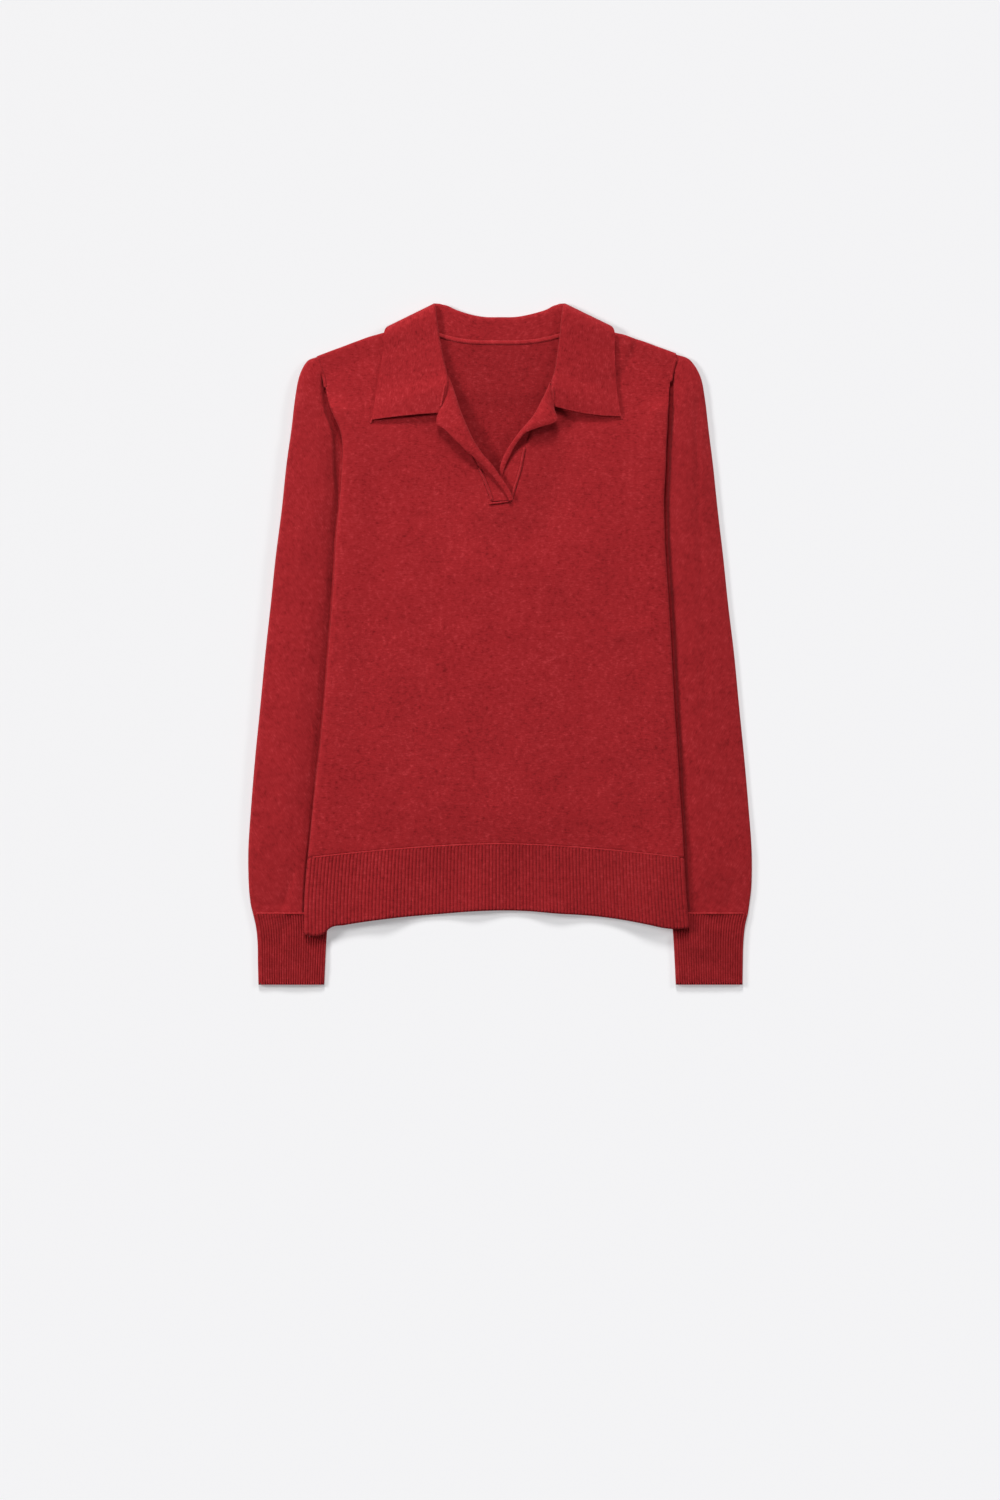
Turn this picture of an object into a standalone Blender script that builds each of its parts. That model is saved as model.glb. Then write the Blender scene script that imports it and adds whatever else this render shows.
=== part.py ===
"""Long-sleeved polo sweater in fine red knit, laid flat on its back, front up.

Millimetres in the tables below, metres in the meshes. X runs across the sweater, +Y runs to
the collar, +Z is up from the surface it lies on. The origin is at the middle of its outline.
Left and right are those of someone who looks down at it.
"""
import math

import bmesh
import bpy
import numpy as np

MM = 0.001

# ------------------------------------------------------------------ driving sizes, mm
CLOTH = 1.6          # wall of the knit
SEAM_GAP = 0.3       # between two pieces that are sewn edge to edge
LAYER_GAP = 0.4      # air between two cloths that lie on each other
SLEEVE_LOW = 4.2     # flattened sleeve, where the body lies beside it or over it
SLEEVE_HIGH = 6.8    # the same sleeve further out
TUCK_LIFT = 5.0      # how far the sleeve under the body raises the back panel
COLLAR_LIFT = 1.95   # how far the collar's fall raises the back panel
SIDE_PUFF = 2.4      # roundness of the body along its side seams
SIDE_ROLL = 4.0      # how far in from the side seam the panels curl
SHOULDER_PUFF = 1.2
SHOULDER_ROLL = 2.2
PLACKET_PUFF = 1.8   # the front stands up a little round its open placket
RIB_HEIGHT = 0.35    # half the depth of a knitted rib
HEM_RIBS = 108
CUFF_RIBS = 26
CUFF_HEIGHT = 4.2
SLEEVE_ROLLS = (3.6, 2.5)    # radius of a flattened sleeve's outer and tucked edge
CUFF_ROLLS = (2.6, 2.4)
HEAD_CLEARANCE = 0.5     # between the sleeve head and the armhole seam
HEAD_TUCK = 4.5          # how far the sleeve head slips under the body, below the shoulder
COLLAR_ROLL = 1.5        # radius of the collar's fold on the front
BACK_ROLL = 1.7          # and behind, where the fall lies under the back panel
SIDE_ROLL_RADIUS = 1.6   # and where the collar goes round the shoulder
BACK_FOLD_Z = 2.5        # height of the fold's middle behind
SHOULDER_Z = 4.3         # height of the collar's stand and fold over the shoulder
SHOULDER_EDGE_Z = 4.35
BAND_SHIFT = 1.15        # how far a placket band lies above or below the front's wall
ROLL_RISE = 0.4          # a turned-out band is a little higher at its roll

RED = (0.342, 0.020, 0.024, 1.0)
DARKER_RED = (0.27, 0.017, 0.021, 1.0)


def table(columns, rows):
    """A table's columns by name, from its rows. Curves are read along the first one."""
    return {name: np.array(values, float) for name, values in zip(columns.split(), zip(*rows))}


def rows_of(a_table):
    return list(zip(*a_table.values()))


# ------------------------------------------------------------------ outlines, mm
# The body's edge on each side: armhole, then side seam. x is the distance from the middle.
BODY_EDGE = table("y left right", (
    (-292, 196, 190), (-264, 196, 187.5), (-232, 194, 185.3), (-188, 189.5, 183),
    (-145, 185, 180), (-107, 180.5, 177.8), (-66, 176.5, 175), (-23, 173, 172.7),
    (21, 169.5, 170.4), (54, 167, 168.2), (80, 165.5, 166.4), (105, 164, 165.2),
    (147, 160, 164.5), (178, 158, 166), (203, 158, 166.7), (215, 160.5, 167.6),
    (227, 166, 168), (247, 173.5, 169.5), (267, 177, 172), (287, 184, 176.8),
))

# A sleeve's rings, from the armhole to the cuff: each runs from its outer point to the
# point that is tucked under the body. bow says how much of the armhole's curve it keeps.
SLEEVE = table("outer_y outer_left outer_right inner_y inner bow", (
    (286.5, 184.5, 178, 150, 155, 1.0),
    (282, 192, 189.5, 137, 141, 0.8),
    (268, 199.5, 198.5, 122, 127, 0.5),
    (246, 204.5, 204.5, 104, 117, 0.25),
    (214, 209, 209, 84, 113, 0.1),
    (178, 214, 213.5, 58, 112, 0.0),
    (135, 218.5, 218, 32, 113, 0.0),
    (88, 224.5, 223.5, 4, 115, 0.0),
    (40, 229.5, 228.5, -28, 119, 0.0),
    (-10, 235, 234.5, -62, 125, 0.0),
    (-62, 240, 239.5, -98, 132, 0.0),
    (-112, 245, 244.5, -136, 141, 0.0),
    (-160, 249, 248.7, -175, 150, 0.0),
    (-205, 252, 252, -212, 160, 0.0),
    (-240, 251.7, 252, -243, 167, 0.0),
    (-259, 250, 250, -260, 171, 0.0),
    (-269.7, 247.5, 248.5, -269.7, 172.3, 0.0),
))

CUFF = table("y outer_left outer_right inner", (
    (-270, 247.5, 248.5, 172.3),
    (-283, 244.5, 245.5, 172.8),
    (-297, 243, 244, 173.8),
    (-320, 242.5, 243.3, 175),
    (-341.5, 242, 243, 176),
))

# The sleeve's hidden edge under the body, which the body is raised over.
TUCK = table("y x", (
    (-295, 173), (-270, 172), (-243, 167), (-212, 160), (-175, 150), (-136, 141),
    (-98, 132), (-62, 125), (-28, 119), (4, 115), (32, 113), (58, 112), (84, 112.5),
    (104, 116.5), (122, 126.5), (138, 138), (152, 143.5), (175, 147), (214, 153), (227, 160),
    (250, 170),
))

# The line where front and back meet on top of each shoulder.
SHOULDER = table("x left right", (
    (86, 320.5, 320.5), (100, 314.5, 314.5), (114, 308.7, 308.3), (124, 306.3, 306.8),
    (143, 302.3, 302.5), (158, 297, 297), (172, 291.7, 291.7), (184, 287, 286.5),
))

# The collar's fall that lies under the back panel: its lower edge.
COLLAR_UNDER = table("x y", (
    (0, 260), (35, 262), (70, 266), (90, 272), (105, 278), (118, 288), (130, 310), (140, 340),
))

# The front's cut edge from the foot of the placket to the side of the neck.
NECK_CUT = table("y left right", (
    (142, 9.3, 11.3), (163, 16.3, 15.3), (176, 21.5, 18.5), (188, 27.5, 21), (202, 34.5, 25),
    (216, 41.5, 32), (231, 48.5, 41), (244, 55.6, 50), (252, 61, 60), (263, 67, 66.5),
    (276, 74, 74), (291, 80.5, 80.5), (306, 85, 85), (321, 86, 86),
))
NECK_SIDE_X = 86.0       # where the neck meets the shoulder seam
PLACKET_FOOT = 141.7     # y of the sewn bar under the placket
CENTRE_X = 1.0           # the middle of the placket, which sits a little right of centre

# The back's neck seam, from the middle outwards.
BACK_NECK = table("x y", (
    (0, 301.5), (16, 301.5), (32, 302.5), (47, 305), (60, 308.5), (73, 313.5), (86, 320.5),
))

# Hem: the seam to the rib, and the rib's free edge.
HEM_SEAM_SIDE = -214.5
HEM_SEAM_RISE = 14.0
HEM_HALF = 192.5         # half the width of the hem, before it follows the side edges
HEM_EDGE = table("x y", (
    (-196, -290.5), (-190, -292.3), (-177, -290.5), (-170, -284.5), (-156, -281.7),
    (-136, -278.5), (-109, -275), (-61, -270.8), (-20, -267.7), (25, -267.7), (61, -270.5),
    (85, -272), (118, -275.7), (150, -281.5), (164, -284.5), (175, -285.6), (191, -284.5),
))

# Soft waves that lift the front hem off the floor.
HEM_WAVES = table("x half_width height", (
    (-112, 24, 2.4), (-21, 27, 2.9), (45, 30, 3.0), (112, 24, 1.7),
))

# Broad soft folds of the front: a ridge (or a trough, below zero) from one end to the other.
FRONT_FOLDS = table("x0 y0 x1 y1 half_width height", (
    (104, 7, 158, 19, 9, 0.8),
    (112, -106, 160, -92, 11, 0.6),
    (62, 40, 86, -150, 30, -0.9),
    (-40, -10, -60, -170, 34, 0.8),
    (20, 20, 26, -190, 34, 0.8),
))
SLEEVE_FOLDS = table("x0 y0 x1 y1 half_width height", (
    (192, 236, 193, 150, 5, -0.9),
    (193, 150, 198, 60, 6, -0.8),
    (198, 60, 203, -70, 8, -0.6),
))

# The collar, a row for each section: the neck seam n, the fold f and the outer edge e. layer
# turns from -90 (folded down behind) through 0 (the side of the neck) to 90 (on the front).
COLLAR = table("layer n_x n_y f_left f_right f_y e_left_x e_left_y e_right_x e_right_y", (
    (-90, 0, 302.3, 0, 0, 326.2, 0, 262, 0, 262),
    (-90, 15, 302.4, 15, 15, 326.4, 24, 263, 24, 263),
    (-90, 31, 303.6, 29, 29, 328.8, 47, 266, 47, 266),
    (-90, 45, 306, 43, 45, 333.2, 70, 272, 70, 272),
    (-90, 58, 309.5, 52, 53, 337.3, 89, 282, 89, 282),
    (-90, 68, 313.6, 57.5, 57.5, 339.8, 102, 294, 101, 294),
    (-90, 76, 318, 61, 60, 340.3, 113.7, 309.7, 113.5, 309.7),
    (-50, 81.5, 321, 64.3, 63, 340.4, 115, 311.6, 114.8, 311.6),
    (0, 86.3, 323.4, 66, 65, 340, 115.5, 312.8, 115.2, 312.8),
    (50, 84.6, 318, 65.5, 63.5, 336, 116, 308.5, 115.3, 308.5),
    (90, 83.4, 306.5, 64, 61.5, 325, 116.5, 298, 115.2, 298),
    (90, 79, 291.5, 61.8, 60, 306, 118, 284, 115.2, 284),
    (90, 72.4, 276.5, 58.8, 59, 288, 121, 267, 116, 267),
    (90, 65.5, 263.5, 55.5, 56, 272, 124, 250, 117.3, 251),
    (90, 60.3, 253.5, 52.5, 51, 258, 126, 237, 119, 240),
    (90, 63.5, 243, 56.5, 54, 245, 127.3, 229.5, 120.3, 232),
    (90, 68.5, 233, 61.2, 58, 236, 128, 223.8, 121, 226.5),
))

# Placket bands, a row for each section: the seam s, the roll r and the free edge e. lift is
# the height of the free edge over the front where the band is turned out. turned is 1 there.
PLACKET_LEFT = table("s_x s_y r_x r_y e_x e_y lift turned", (
    (-9, 142.3, 0, 142.3, 9, 142.3, 0, 0),
    (-12, 151, -3, 151, 6, 151, 0, 0),
    (-16, 163, -8, 163, 0.5, 163, 0, 0),
    (-21, 176, -13, 175, -8, 171, 0.6, 0.3),
    (-27, 188, -17.5, 187, -18, 181, 1.8, 0.75),
    (-34, 202, -26, 203, -31, 193, 2.8, 1),
    (-41, 216, -33.5, 220, -42.5, 204, 3.3, 1),
    (-48, 231, -41, 236, -53, 213, 3.6, 1),
    (-55, 244.5, -49, 252.5, -63, 221.5, 3.8, 1),
))
PLACKET_RIGHT = table("s_x s_y r_x r_y e_x e_y lift turned", (
    (11, 142.3, 4, 142.3, -3, 142.3, 0, 0),
    (12.5, 151, 5, 151, -3, 151, 0, 0),
    (15, 163, 7, 163, -1, 163, 0, 0),
    (18, 176, 11, 176.5, 3, 178.5, 0, 0),
    (20.5, 188, 13.5, 189.5, 6.5, 192, 0, 0),
    (24.5, 202, 18, 205.5, 15, 206, 1.5, 0.5),
    (31.5, 216, 25.5, 218, 27, 211.5, 4.5, 1),
    (40.5, 231, 35, 235, 40, 218, 6.0, 1),
    (49.5, 244, 45, 253, 54, 225, 6.5, 1),
))

# Rows of the two big panels, from the hem seam up: y at the side and at the middle.
LOWER_ROWS = ((-214.5, -200.5), (-178, -168), (-138, -130), (-98, -92), (-58, -54),
              (-18, -16), (22, 24), (62, 64), (102, 104))
UPPER_ROWS = ((160, 163), (182, 183), (203, 203), (217, 219), (231, 234), (249, 250),
              (266, 268), (278, 290))


# ------------------------------------------------------------------ curves and heights
def column(a_table, key, name):
    """A smooth curve through one column of a table whose first column is the key."""
    keys, values = next(iter(a_table.values())), a_table[name]
    if keys[0] > keys[-1]:
        keys, values = keys[::-1], values[::-1]
    slopes = np.gradient(values, keys)
    key = np.clip(np.asarray(key, float), keys[0], keys[-1])
    i = np.clip(np.searchsorted(keys, key) - 1, 0, len(keys) - 2)
    span = keys[i + 1] - keys[i]
    t = (key - keys[i]) / span
    start, end = values[i], values[i + 1]
    turn = 3 * (end - start) - span * (2 * slopes[i] + slopes[i + 1])
    twist = 2 * (start - end) + span * (slopes[i] + slopes[i + 1])
    return start + t * (span * slopes[i] + t * (turn + t * twist))


def ease(t):
    """0 before 0, 1 after 1, smooth between them."""
    t = np.clip(t, 0.0, 1.0)
    return t * t * (3 - 2 * t)


def by_side(a_table, x, key):
    """The left or the right column of a table, by the sign of x."""
    left, right = column(a_table, key, "left"), column(a_table, key, "right")
    return np.where(np.asarray(x) < 0, left, right)


def body_edge(x, y):
    return by_side(BODY_EDGE, x, y)


def shoulder_y(x):
    return by_side(SHOULDER, x, np.abs(x))


def below_armhole(y):
    """0 at the sleeve head, 1 where the body lies on top of the tucked sleeve."""
    return ease((250 - np.asarray(y)) / 18)


def fold_height(folds, x, y):
    """Soft ridges and troughs laid along straight lines, fading at both ends."""
    total = np.zeros(np.broadcast(x, y).shape)
    for x0, y0, x1, y1, half_width, height in rows_of(folds):
        length = math.hypot(x1 - x0, y1 - y0)
        along = ((x - x0) * (x1 - x0) + (y - y0) * (y1 - y0)) / length
        across = ((x - x0) * (y1 - y0) - (y - y0) * (x1 - x0)) / length
        ends = ease((along + half_width) / (2 * half_width))
        ends = ends * ease((length + half_width - along) / (2 * half_width))
        total = total + height * ends * np.exp(-(across / half_width) ** 2)
    return total


def back_mid(x, y):
    """Middle of the back panel's wall: on the floor, on the tucked sleeves, on the collar."""
    out = np.abs(x)
    inner = column(TUCK, y, "x")
    on_sleeve = TUCK_LIFT * below_armhole(y) * ease((out - inner + 28) / 24)
    on_collar = COLLAR_LIFT * ease((y - column(COLLAR_UNDER, out, "y") + 30) / 24)
    return np.maximum(on_sleeve, on_collar) + CLOTH / 2


def hem_wave(x, y):
    """The front hem's waves, highest at its free edge."""
    down = ease((-195 - np.asarray(y)) / 75)
    total = 0.0
    for centre, half_width, height in rows_of(HEM_WAVES):
        total = total + height * np.exp(-((x - centre) / half_width) ** 2)
    return total * down


def front_mid(x, y):
    """Middle of the front panel's wall, over the back."""
    low = below_armhole(y)
    puff = (0.6 + (SIDE_PUFF - 0.6) * low) * ease((np.abs(x) - body_edge(x, y) + 42) / 30)
    puff = puff + SHOULDER_PUFF * ease((y - shoulder_y(x) + 22) / 18)
    beside = np.maximum(0, np.abs(x - CENTRE_X) - by_side(NECK_CUT, x, np.maximum(y, 142)))
    from_placket = np.hypot(beside, np.maximum(0, 142 - y))
    placket = PLACKET_PUFF * (1 - 0.6 * ease((np.asarray(y) - 230) / 40))
    puff = puff + placket * (1 - ease(from_placket / 45))
    relief = fold_height(FRONT_FOLDS, x, y) * ease((body_edge(x, y) - np.abs(x) - 6) / 14)
    return back_mid(x, y) + CLOTH + LAYER_GAP + puff + hem_wave(x, y) + np.maximum(relief, -0.3)


def sleeve_top(x, y):
    """Top of the flattened sleeve: low beside the body, fuller towards its outer edge."""
    out = np.abs(x) - body_edge(x, y)
    height = SLEEVE_LOW + (SLEEVE_HIGH - SLEEVE_LOW) * ease((out - 3) / 26)
    gathered = ease((np.asarray(y) + 269) / 16)
    height = CUFF_HEIGHT + (height - CUFF_HEIGHT) * gathered
    relief = np.where(np.asarray(x) > 0, fold_height(SLEEVE_FOLDS, x, y), 0.0)
    return height + relief * ease((out - 6) / 12) + SHOULDER_PUFF * ease((y - 264) / 16)


# ------------------------------------------------------------------ meshes
def knit_material(name, colour, roughness=0.9):
    material = bpy.data.materials.new(name)
    material.use_nodes = True
    shader = material.node_tree.nodes["Principled BSDF"]
    shader.inputs["Base Color"].default_value = colour
    shader.inputs["Roughness"].default_value = roughness
    shader.inputs["Metallic"].default_value = 0.0
    material.diffuse_color = colour
    return material


def add_object(name, mesh_data, material):
    bmesh.ops.recalc_face_normals(mesh_data, faces=mesh_data.faces)
    mesh = bpy.data.meshes.new(name)
    mesh_data.to_mesh(mesh)
    mesh_data.free()
    mesh.materials.append(material)
    mesh.shade_smooth()
    mesh.set_sharp_from_angle(angle=math.radians(50))
    piece = bpy.data.objects.new(name, mesh)
    bpy.context.scene.collection.objects.link(piece)
    return piece


def wall_normals(grid, curled=0.0):
    """Unit normals of a grid of points; they point up where columns run to +X, rows to +Y.

    Where curled is 1, the wall has turned down to meet its fellow and faces sideways.
    """
    along_rows = np.gradient(grid, axis=0)
    along_columns = np.gradient(grid, axis=1)
    normal = np.cross(along_columns, along_rows)
    normal[..., 2] *= 1 - np.asarray(curled) ** 8
    return normal / np.linalg.norm(normal, axis=2, keepdims=True)


def add_vertices(mesh_data, grid, used=None):
    """Vertices for a grid of points in mm. Points outside used are left out."""
    rows, columns, _ = grid.shape
    return [[mesh_data.verts.new(grid[i, j] * MM) if used is None or used[i, j] else None
             for j in range(columns)] for i in range(rows)]


def sheet_solid(name, top, under, material, keep=None):
    """A closed wall between two grids of points. keep says which of their cells exist."""
    rows, columns, _ = top.shape
    cells = np.ones((rows - 1, columns - 1), bool) if keep is None else keep
    used = np.zeros((rows, columns), bool)
    for i, j in np.argwhere(cells):
        used[i:i + 2, j:j + 2] = True
    mesh_data = bmesh.new()
    upper = add_vertices(mesh_data, top, used)
    lower = add_vertices(mesh_data, under, used)
    for i, j in np.argwhere(cells):
        a, b, c, d = (i, j), (i, j + 1), (i + 1, j + 1), (i + 1, j)
        # Cells split towards the middle on both sides, so that layers fold alike.
        halves = ((a, b, c), (a, c, d)) if 2 * j < columns - 1 else ((a, b, d), (b, c, d))
        for corners in halves:
            mesh_data.faces.new([upper[r][k] for r, k in corners])
            mesh_data.faces.new([lower[r][k] for r, k in reversed(corners)])
    place = {upper[i][j]: lower[i][j] for i in range(rows) for j in range(columns) if used[i, j]}
    for edge in [edge for edge in mesh_data.edges if edge.is_boundary]:
        if all(corner in place for corner in edge.verts):
            first, second = edge.verts
            mesh_data.faces.new((first, second, place[second], place[first]))
    return add_object(name, mesh_data, material)


def cloth_solid(name, middle, material, keep=None, curled=0.0, relief=0.0):
    """A wall of the cloth's thickness round its middle surface, with a relief on its top."""
    normal = wall_normals(middle, curled)
    top = middle + normal * (CLOTH / 2 + np.asarray(relief))
    return sheet_solid(name, top, middle - normal * CLOTH / 2, material, keep)


def tube_solid(name, outer, inner, material):
    """A closed wall between two sleeves of rings; the inner one may have its end rings only."""
    mesh_data = bmesh.new()
    outside, inside = add_vertices(mesh_data, outer), add_vertices(mesh_data, inner)
    count = outer.shape[1]
    for j in range(count):
        k = (j + 1) % count
        for near, far in zip(outside, outside[1:]):
            mesh_data.faces.new((near[j], near[k], far[k], far[j]))
        for near, far in zip(inside, inside[1:]):
            mesh_data.faces.new((near[k], near[j], far[j], far[k]))
        mesh_data.faces.new((outside[0][k], outside[0][j], inside[0][j], inside[0][k]))
        mesh_data.faces.new((outside[-1][j], outside[-1][k], inside[-1][k], inside[-1][j]))
    return add_object(name, mesh_data, material)


# ------------------------------------------------------------------ front and back
def curl_steps(roll):
    """Distances from a curled edge at which its quarter turn has a row of points."""
    return roll * (1 - np.cos(np.radians((0, 30, 60, 90))))


def panel_half(side, rows, middle_x, columns_to_middle):
    """Plan points of half a panel: curl columns, the tucked sleeve's line, then even ones.

    Rows run level over the tucked sleeve, then slant to the middle. The lowest follow the hem.
    """
    steps = curl_steps(SIDE_ROLL)
    plan = np.zeros((len(rows), 7 + columns_to_middle, 2))
    for i, ((side_y, middle_y), end_x) in enumerate(zip(rows, middle_x)):
        y = np.full(plan.shape[1], float(side_y))
        for _ in range(3):
            edge = body_edge(side, y) - CLOTH / 2
            inner = column(TUCK, y, "x")
            x = np.empty(plan.shape[1])
            x[:4] = edge[:4] - steps
            x[5], x[6] = inner[5] - 4, inner[6] - 28
            x[4] = (x[3] + x[5]) / 2
            x[7:] = np.linspace(x[6], end_x, columns_to_middle + 1)[1:]
            slanted = np.clip((x[6] - x) / (x[6] - end_x), 0, 1)
            bowed = 1 - (x / x[0]) ** 1.6
            low = ease((60 - side_y) / 270)
            y = side_y + (middle_y - side_y) * (low * bowed + (1 - low) * slanted)
        plan[i, :, 0], plan[i, :, 1] = side * x, y
    return plan


def shoulder_rows(plan, side, inner_x, inner_y):
    """Adds the rows that curl over the shoulder seam and, on the back, along the neck."""
    steps = curl_steps(SIDE_ROLL)
    x = np.abs(plan[-1, :, 0])
    on_shoulder = len(x) - len(inner_x)
    x[6:on_shoulder] = np.linspace(x[6], NECK_SIDE_X, on_shoulder - 6)
    for _ in range(3):
        line_y = shoulder_y(side * x)
        x[:4] = body_edge(side, line_y[0]) - CLOTH / 2 - steps
    x[on_shoulder:], line_y[on_shoulder:] = inner_x, inner_y
    rows = [np.stack((side * x, line_y - step), axis=1)
            for step in curl_steps(SHOULDER_ROLL)[::-1]]
    return np.concatenate((plan, rows))


def panel_surface(plan, height, direction):
    """The panel's middle surface, curled towards its fellow at side seam and shoulder.

    Also how far it has turned there, from 0 where it lies flat to 1 at the seam.
    """
    x, y = plan[..., 0], plan[..., 1]
    flat = height(x, y)
    meeting = (back_mid(x, y) + front_mid(x, y)) / 2 + direction * SEAM_GAP / 2
    from_side = body_edge(x, y) - CLOTH / 2 - np.abs(x)
    side_turn = 1 - np.clip(from_side / SIDE_ROLL, 0, 1)
    side_share = (1 - np.sqrt(np.clip(1 - side_turn ** 2, 0, 1))) * below_armhole(y)
    from_top = shoulder_y(x) - y
    top_turn = 1 - np.clip(from_top / SHOULDER_ROLL, 0, 1)
    top_share = 1 - np.sqrt(np.clip(1 - top_turn ** 2, 0, 1))
    top_share = np.where(np.abs(x) >= NECK_SIDE_X - 0.1, top_share, 0.0)
    share = np.maximum(side_share, top_share)
    return np.dstack((x, y, flat + (meeting - flat) * share)), share


def join_halves(left, right):
    """Both halves of a panel in one grid; they share the middle column."""
    return np.concatenate((left, right[:, -2::-1]), axis=1)


def front_panel(material):
    rows = LOWER_ROWS + ((139, PLACKET_FOOT),) + UPPER_ROWS
    foot = len(LOWER_ROWS)
    halves = []
    for side in (-1, 1):
        cut_x = [float(by_side(NECK_CUT, side, middle_y)) for _, middle_y in rows]
        plan = panel_half(side, rows, cut_x, 3)
        plan = shoulder_rows(plan, side, [], [])
        middle = plan[:, -1:].copy()
        middle[:foot + 1, :, 0] = CENTRE_X
        middle[foot + 1:, :, 0] -= side * 10
        halves.append(np.concatenate((plan, middle), axis=1))
    surface, curled = panel_surface(join_halves(*halves), front_mid, 1)
    centre = halves[0].shape[1] - 1
    keep = np.ones((surface.shape[0] - 1, surface.shape[1] - 1), bool)
    keep[foot:, centre - 1:centre + 1] = False
    return cloth_solid("front_panel", surface, material, keep, curled)


def back_panel(material):
    rows = LOWER_ROWS + ((139, 140),) + UPPER_ROWS[:-2] + ((266, 262), (278, 282))
    neck_x = np.array((64.0, 43.0, 21.0, 0.0))
    neck_y = column(BACK_NECK, neck_x, "y")
    halves = []
    for side in (-1, 1):
        plan = panel_half(side, rows, [0.0] * len(rows), 7)
        halves.append(shoulder_rows(plan, side, neck_x, neck_y))
    surface, curled = panel_surface(join_halves(*halves), back_mid, -1)
    return cloth_solid("back_panel", surface, material, None, curled)


def hem_plan(side_columns, rows, shorter=0.0):
    """Plan points of a hem rib: columns across, rows from its seam to its free edge."""
    edge = np.abs(side_columns)
    seam_share = 1 - edge / edge.max()
    seam_y = HEM_SEAM_SIDE + HEM_SEAM_RISE * (1 - (1 - seam_share) ** 1.6) - SEAM_GAP
    plan = np.zeros((rows, len(side_columns), 2))
    for i in range(rows):
        down = i / (rows - 1)
        x = side_columns.copy()
        for _ in range(3):
            free_y = column(HEM_EDGE, x, "y") + shorter
            y = seam_y + (free_y - seam_y) * down
            reach = (body_edge(side_columns, y) - CLOTH / 2) / edge.max()
            x = side_columns * reach
        plan[i, :, 0], plan[i, :, 1] = x, y
    return plan


def hem_ribs(material):
    curled_x = HEM_HALF - curl_steps(SIDE_ROLL)[:-1]
    flat_x = np.linspace(-(HEM_HALF - SIDE_ROLL), HEM_HALF - SIDE_ROLL, 2 * HEM_RIBS + 1)
    plan = hem_plan(np.concatenate((-curled_x, flat_x, curled_x[::-1])), 3)[::-1]
    surface, curled = panel_surface(plan, front_mid, 1)
    ridge = np.zeros(plan.shape[1])
    ridge[3:-3] = RIB_HEIGHT * (-1.0) ** np.arange(len(flat_x))
    cloth_solid("hem_rib_front", surface, material, None, curled, ridge[None, :, None])
    over_tuck = np.linspace(HEM_HALF - SIDE_ROLL, 128, 15)
    between = np.linspace(128, -128, 9)[1:-1]
    across = np.concatenate((curled_x, over_tuck, between, -over_tuck[::-1], -curled_x[::-1]))
    plan = hem_plan(across[::-1], 3, shorter=1.5)[::-1]
    surface, curled = panel_surface(plan, back_mid, -1)
    cloth_solid("hem_rib_back", surface, material, None, curled)


# ------------------------------------------------------------------ sleeves and cuffs
def flat_ring(width, height, rolls, inset, top_steps, under_steps):
    """A flattened tube's section: distance from the outer edge, and height.

    rolls are the radii of its outer and its tucked edge; inset is the wall.
    """
    rise = height / 2
    quarter = math.sqrt(0.5)
    outer_roll, inner_roll = rolls
    outer_r, inner_r = outer_roll - inset, inner_roll - inset
    half = rise - inset
    across, up = [outer_roll - outer_r], [rise]
    across.append(outer_roll - outer_r * quarter)
    up.append(rise + half * quarter)
    for d in np.linspace(outer_roll, width - inner_roll, top_steps):
        across.append(d)
        up.append(rise + half)
    across.append(width - inner_roll + inner_r * quarter)
    up.append(rise + half * quarter)
    across.append(width - inner_roll + inner_r)
    up.append(rise)
    across.append(width - inner_roll + inner_r * quarter)
    up.append(rise - half * quarter)
    for d in np.linspace(width - inner_roll, outer_roll, under_steps):
        across.append(d)
        up.append(rise - half)
    across.append(outer_roll - outer_r * quarter)
    up.append(rise - half * quarter)
    return np.array(across), np.array(up)


def sleeve_ring(side, row, inset):
    """One ring of a sleeve in space: its plan line from the outer to the tucked point."""
    outer_y, outer_left, outer_right, inner_y, inner_x, bow = row
    outer_x = outer_left if side < 0 else outer_right
    width = math.hypot(outer_x - inner_x, outer_y - inner_y)
    across, up = flat_ring(width, 1.0, SLEEVE_ROLLS, 0.0, 7, 5)
    inset_across, _ = flat_ring(width, 1.0, SLEEVE_ROLLS, inset, 7, 5)
    share = across / width
    head = {name: values[0] for name, values in SLEEVE.items()}
    head_outer = head["outer_left"] if side < 0 else head["outer_right"]
    chord_x = head_outer + (head["inner"] - head_outer) * share
    chord_y = head["outer_y"] + (head["inner_y"] - head["outer_y"]) * share
    seam_x = body_edge(side, chord_y) + HEAD_CLEARANCE - HEAD_TUCK * ease((232 - chord_y) / 20)
    x = outer_x + (inner_x - outer_x) * share + bow * (seam_x - chord_x)
    y = outer_y + (inner_y - outer_y) * share
    nudge = (inset_across - across) / width
    x = x + nudge * (inner_x - outer_x)
    y = y + nudge * (inner_y - outer_y)
    height = sleeve_top(side * x, y)
    z = inset + (height - 2 * inset) * up
    return np.stack((side * x, y, z), axis=1)


def sleeve(name, side, material):
    outer = np.array([sleeve_ring(side, row, 0.0) for row in rows_of(SLEEVE)])
    inner = np.array([sleeve_ring(side, row, CLOTH) for row in rows_of(SLEEVE)])
    return tube_solid(name, outer, inner, material)


def cuff_ring(side, row, inset, ribs):
    y, outer_left, outer_right, inner_x = row
    outer_x = outer_left if side < 0 else outer_right
    width = outer_x - inner_x
    across, up = flat_ring(width, CUFF_HEIGHT, CUFF_ROLLS, inset, 2 * CUFF_RIBS + 1, 9)
    ridge = np.zeros(len(across))
    if ribs:
        ridge[2:2 * CUFF_RIBS + 3] = RIB_HEIGHT * (-1.0) ** np.arange(2 * CUFF_RIBS + 1)
    x = side * (outer_x - across)
    return np.stack((x, np.full(len(x), float(y)), up + ridge), axis=1)


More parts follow.
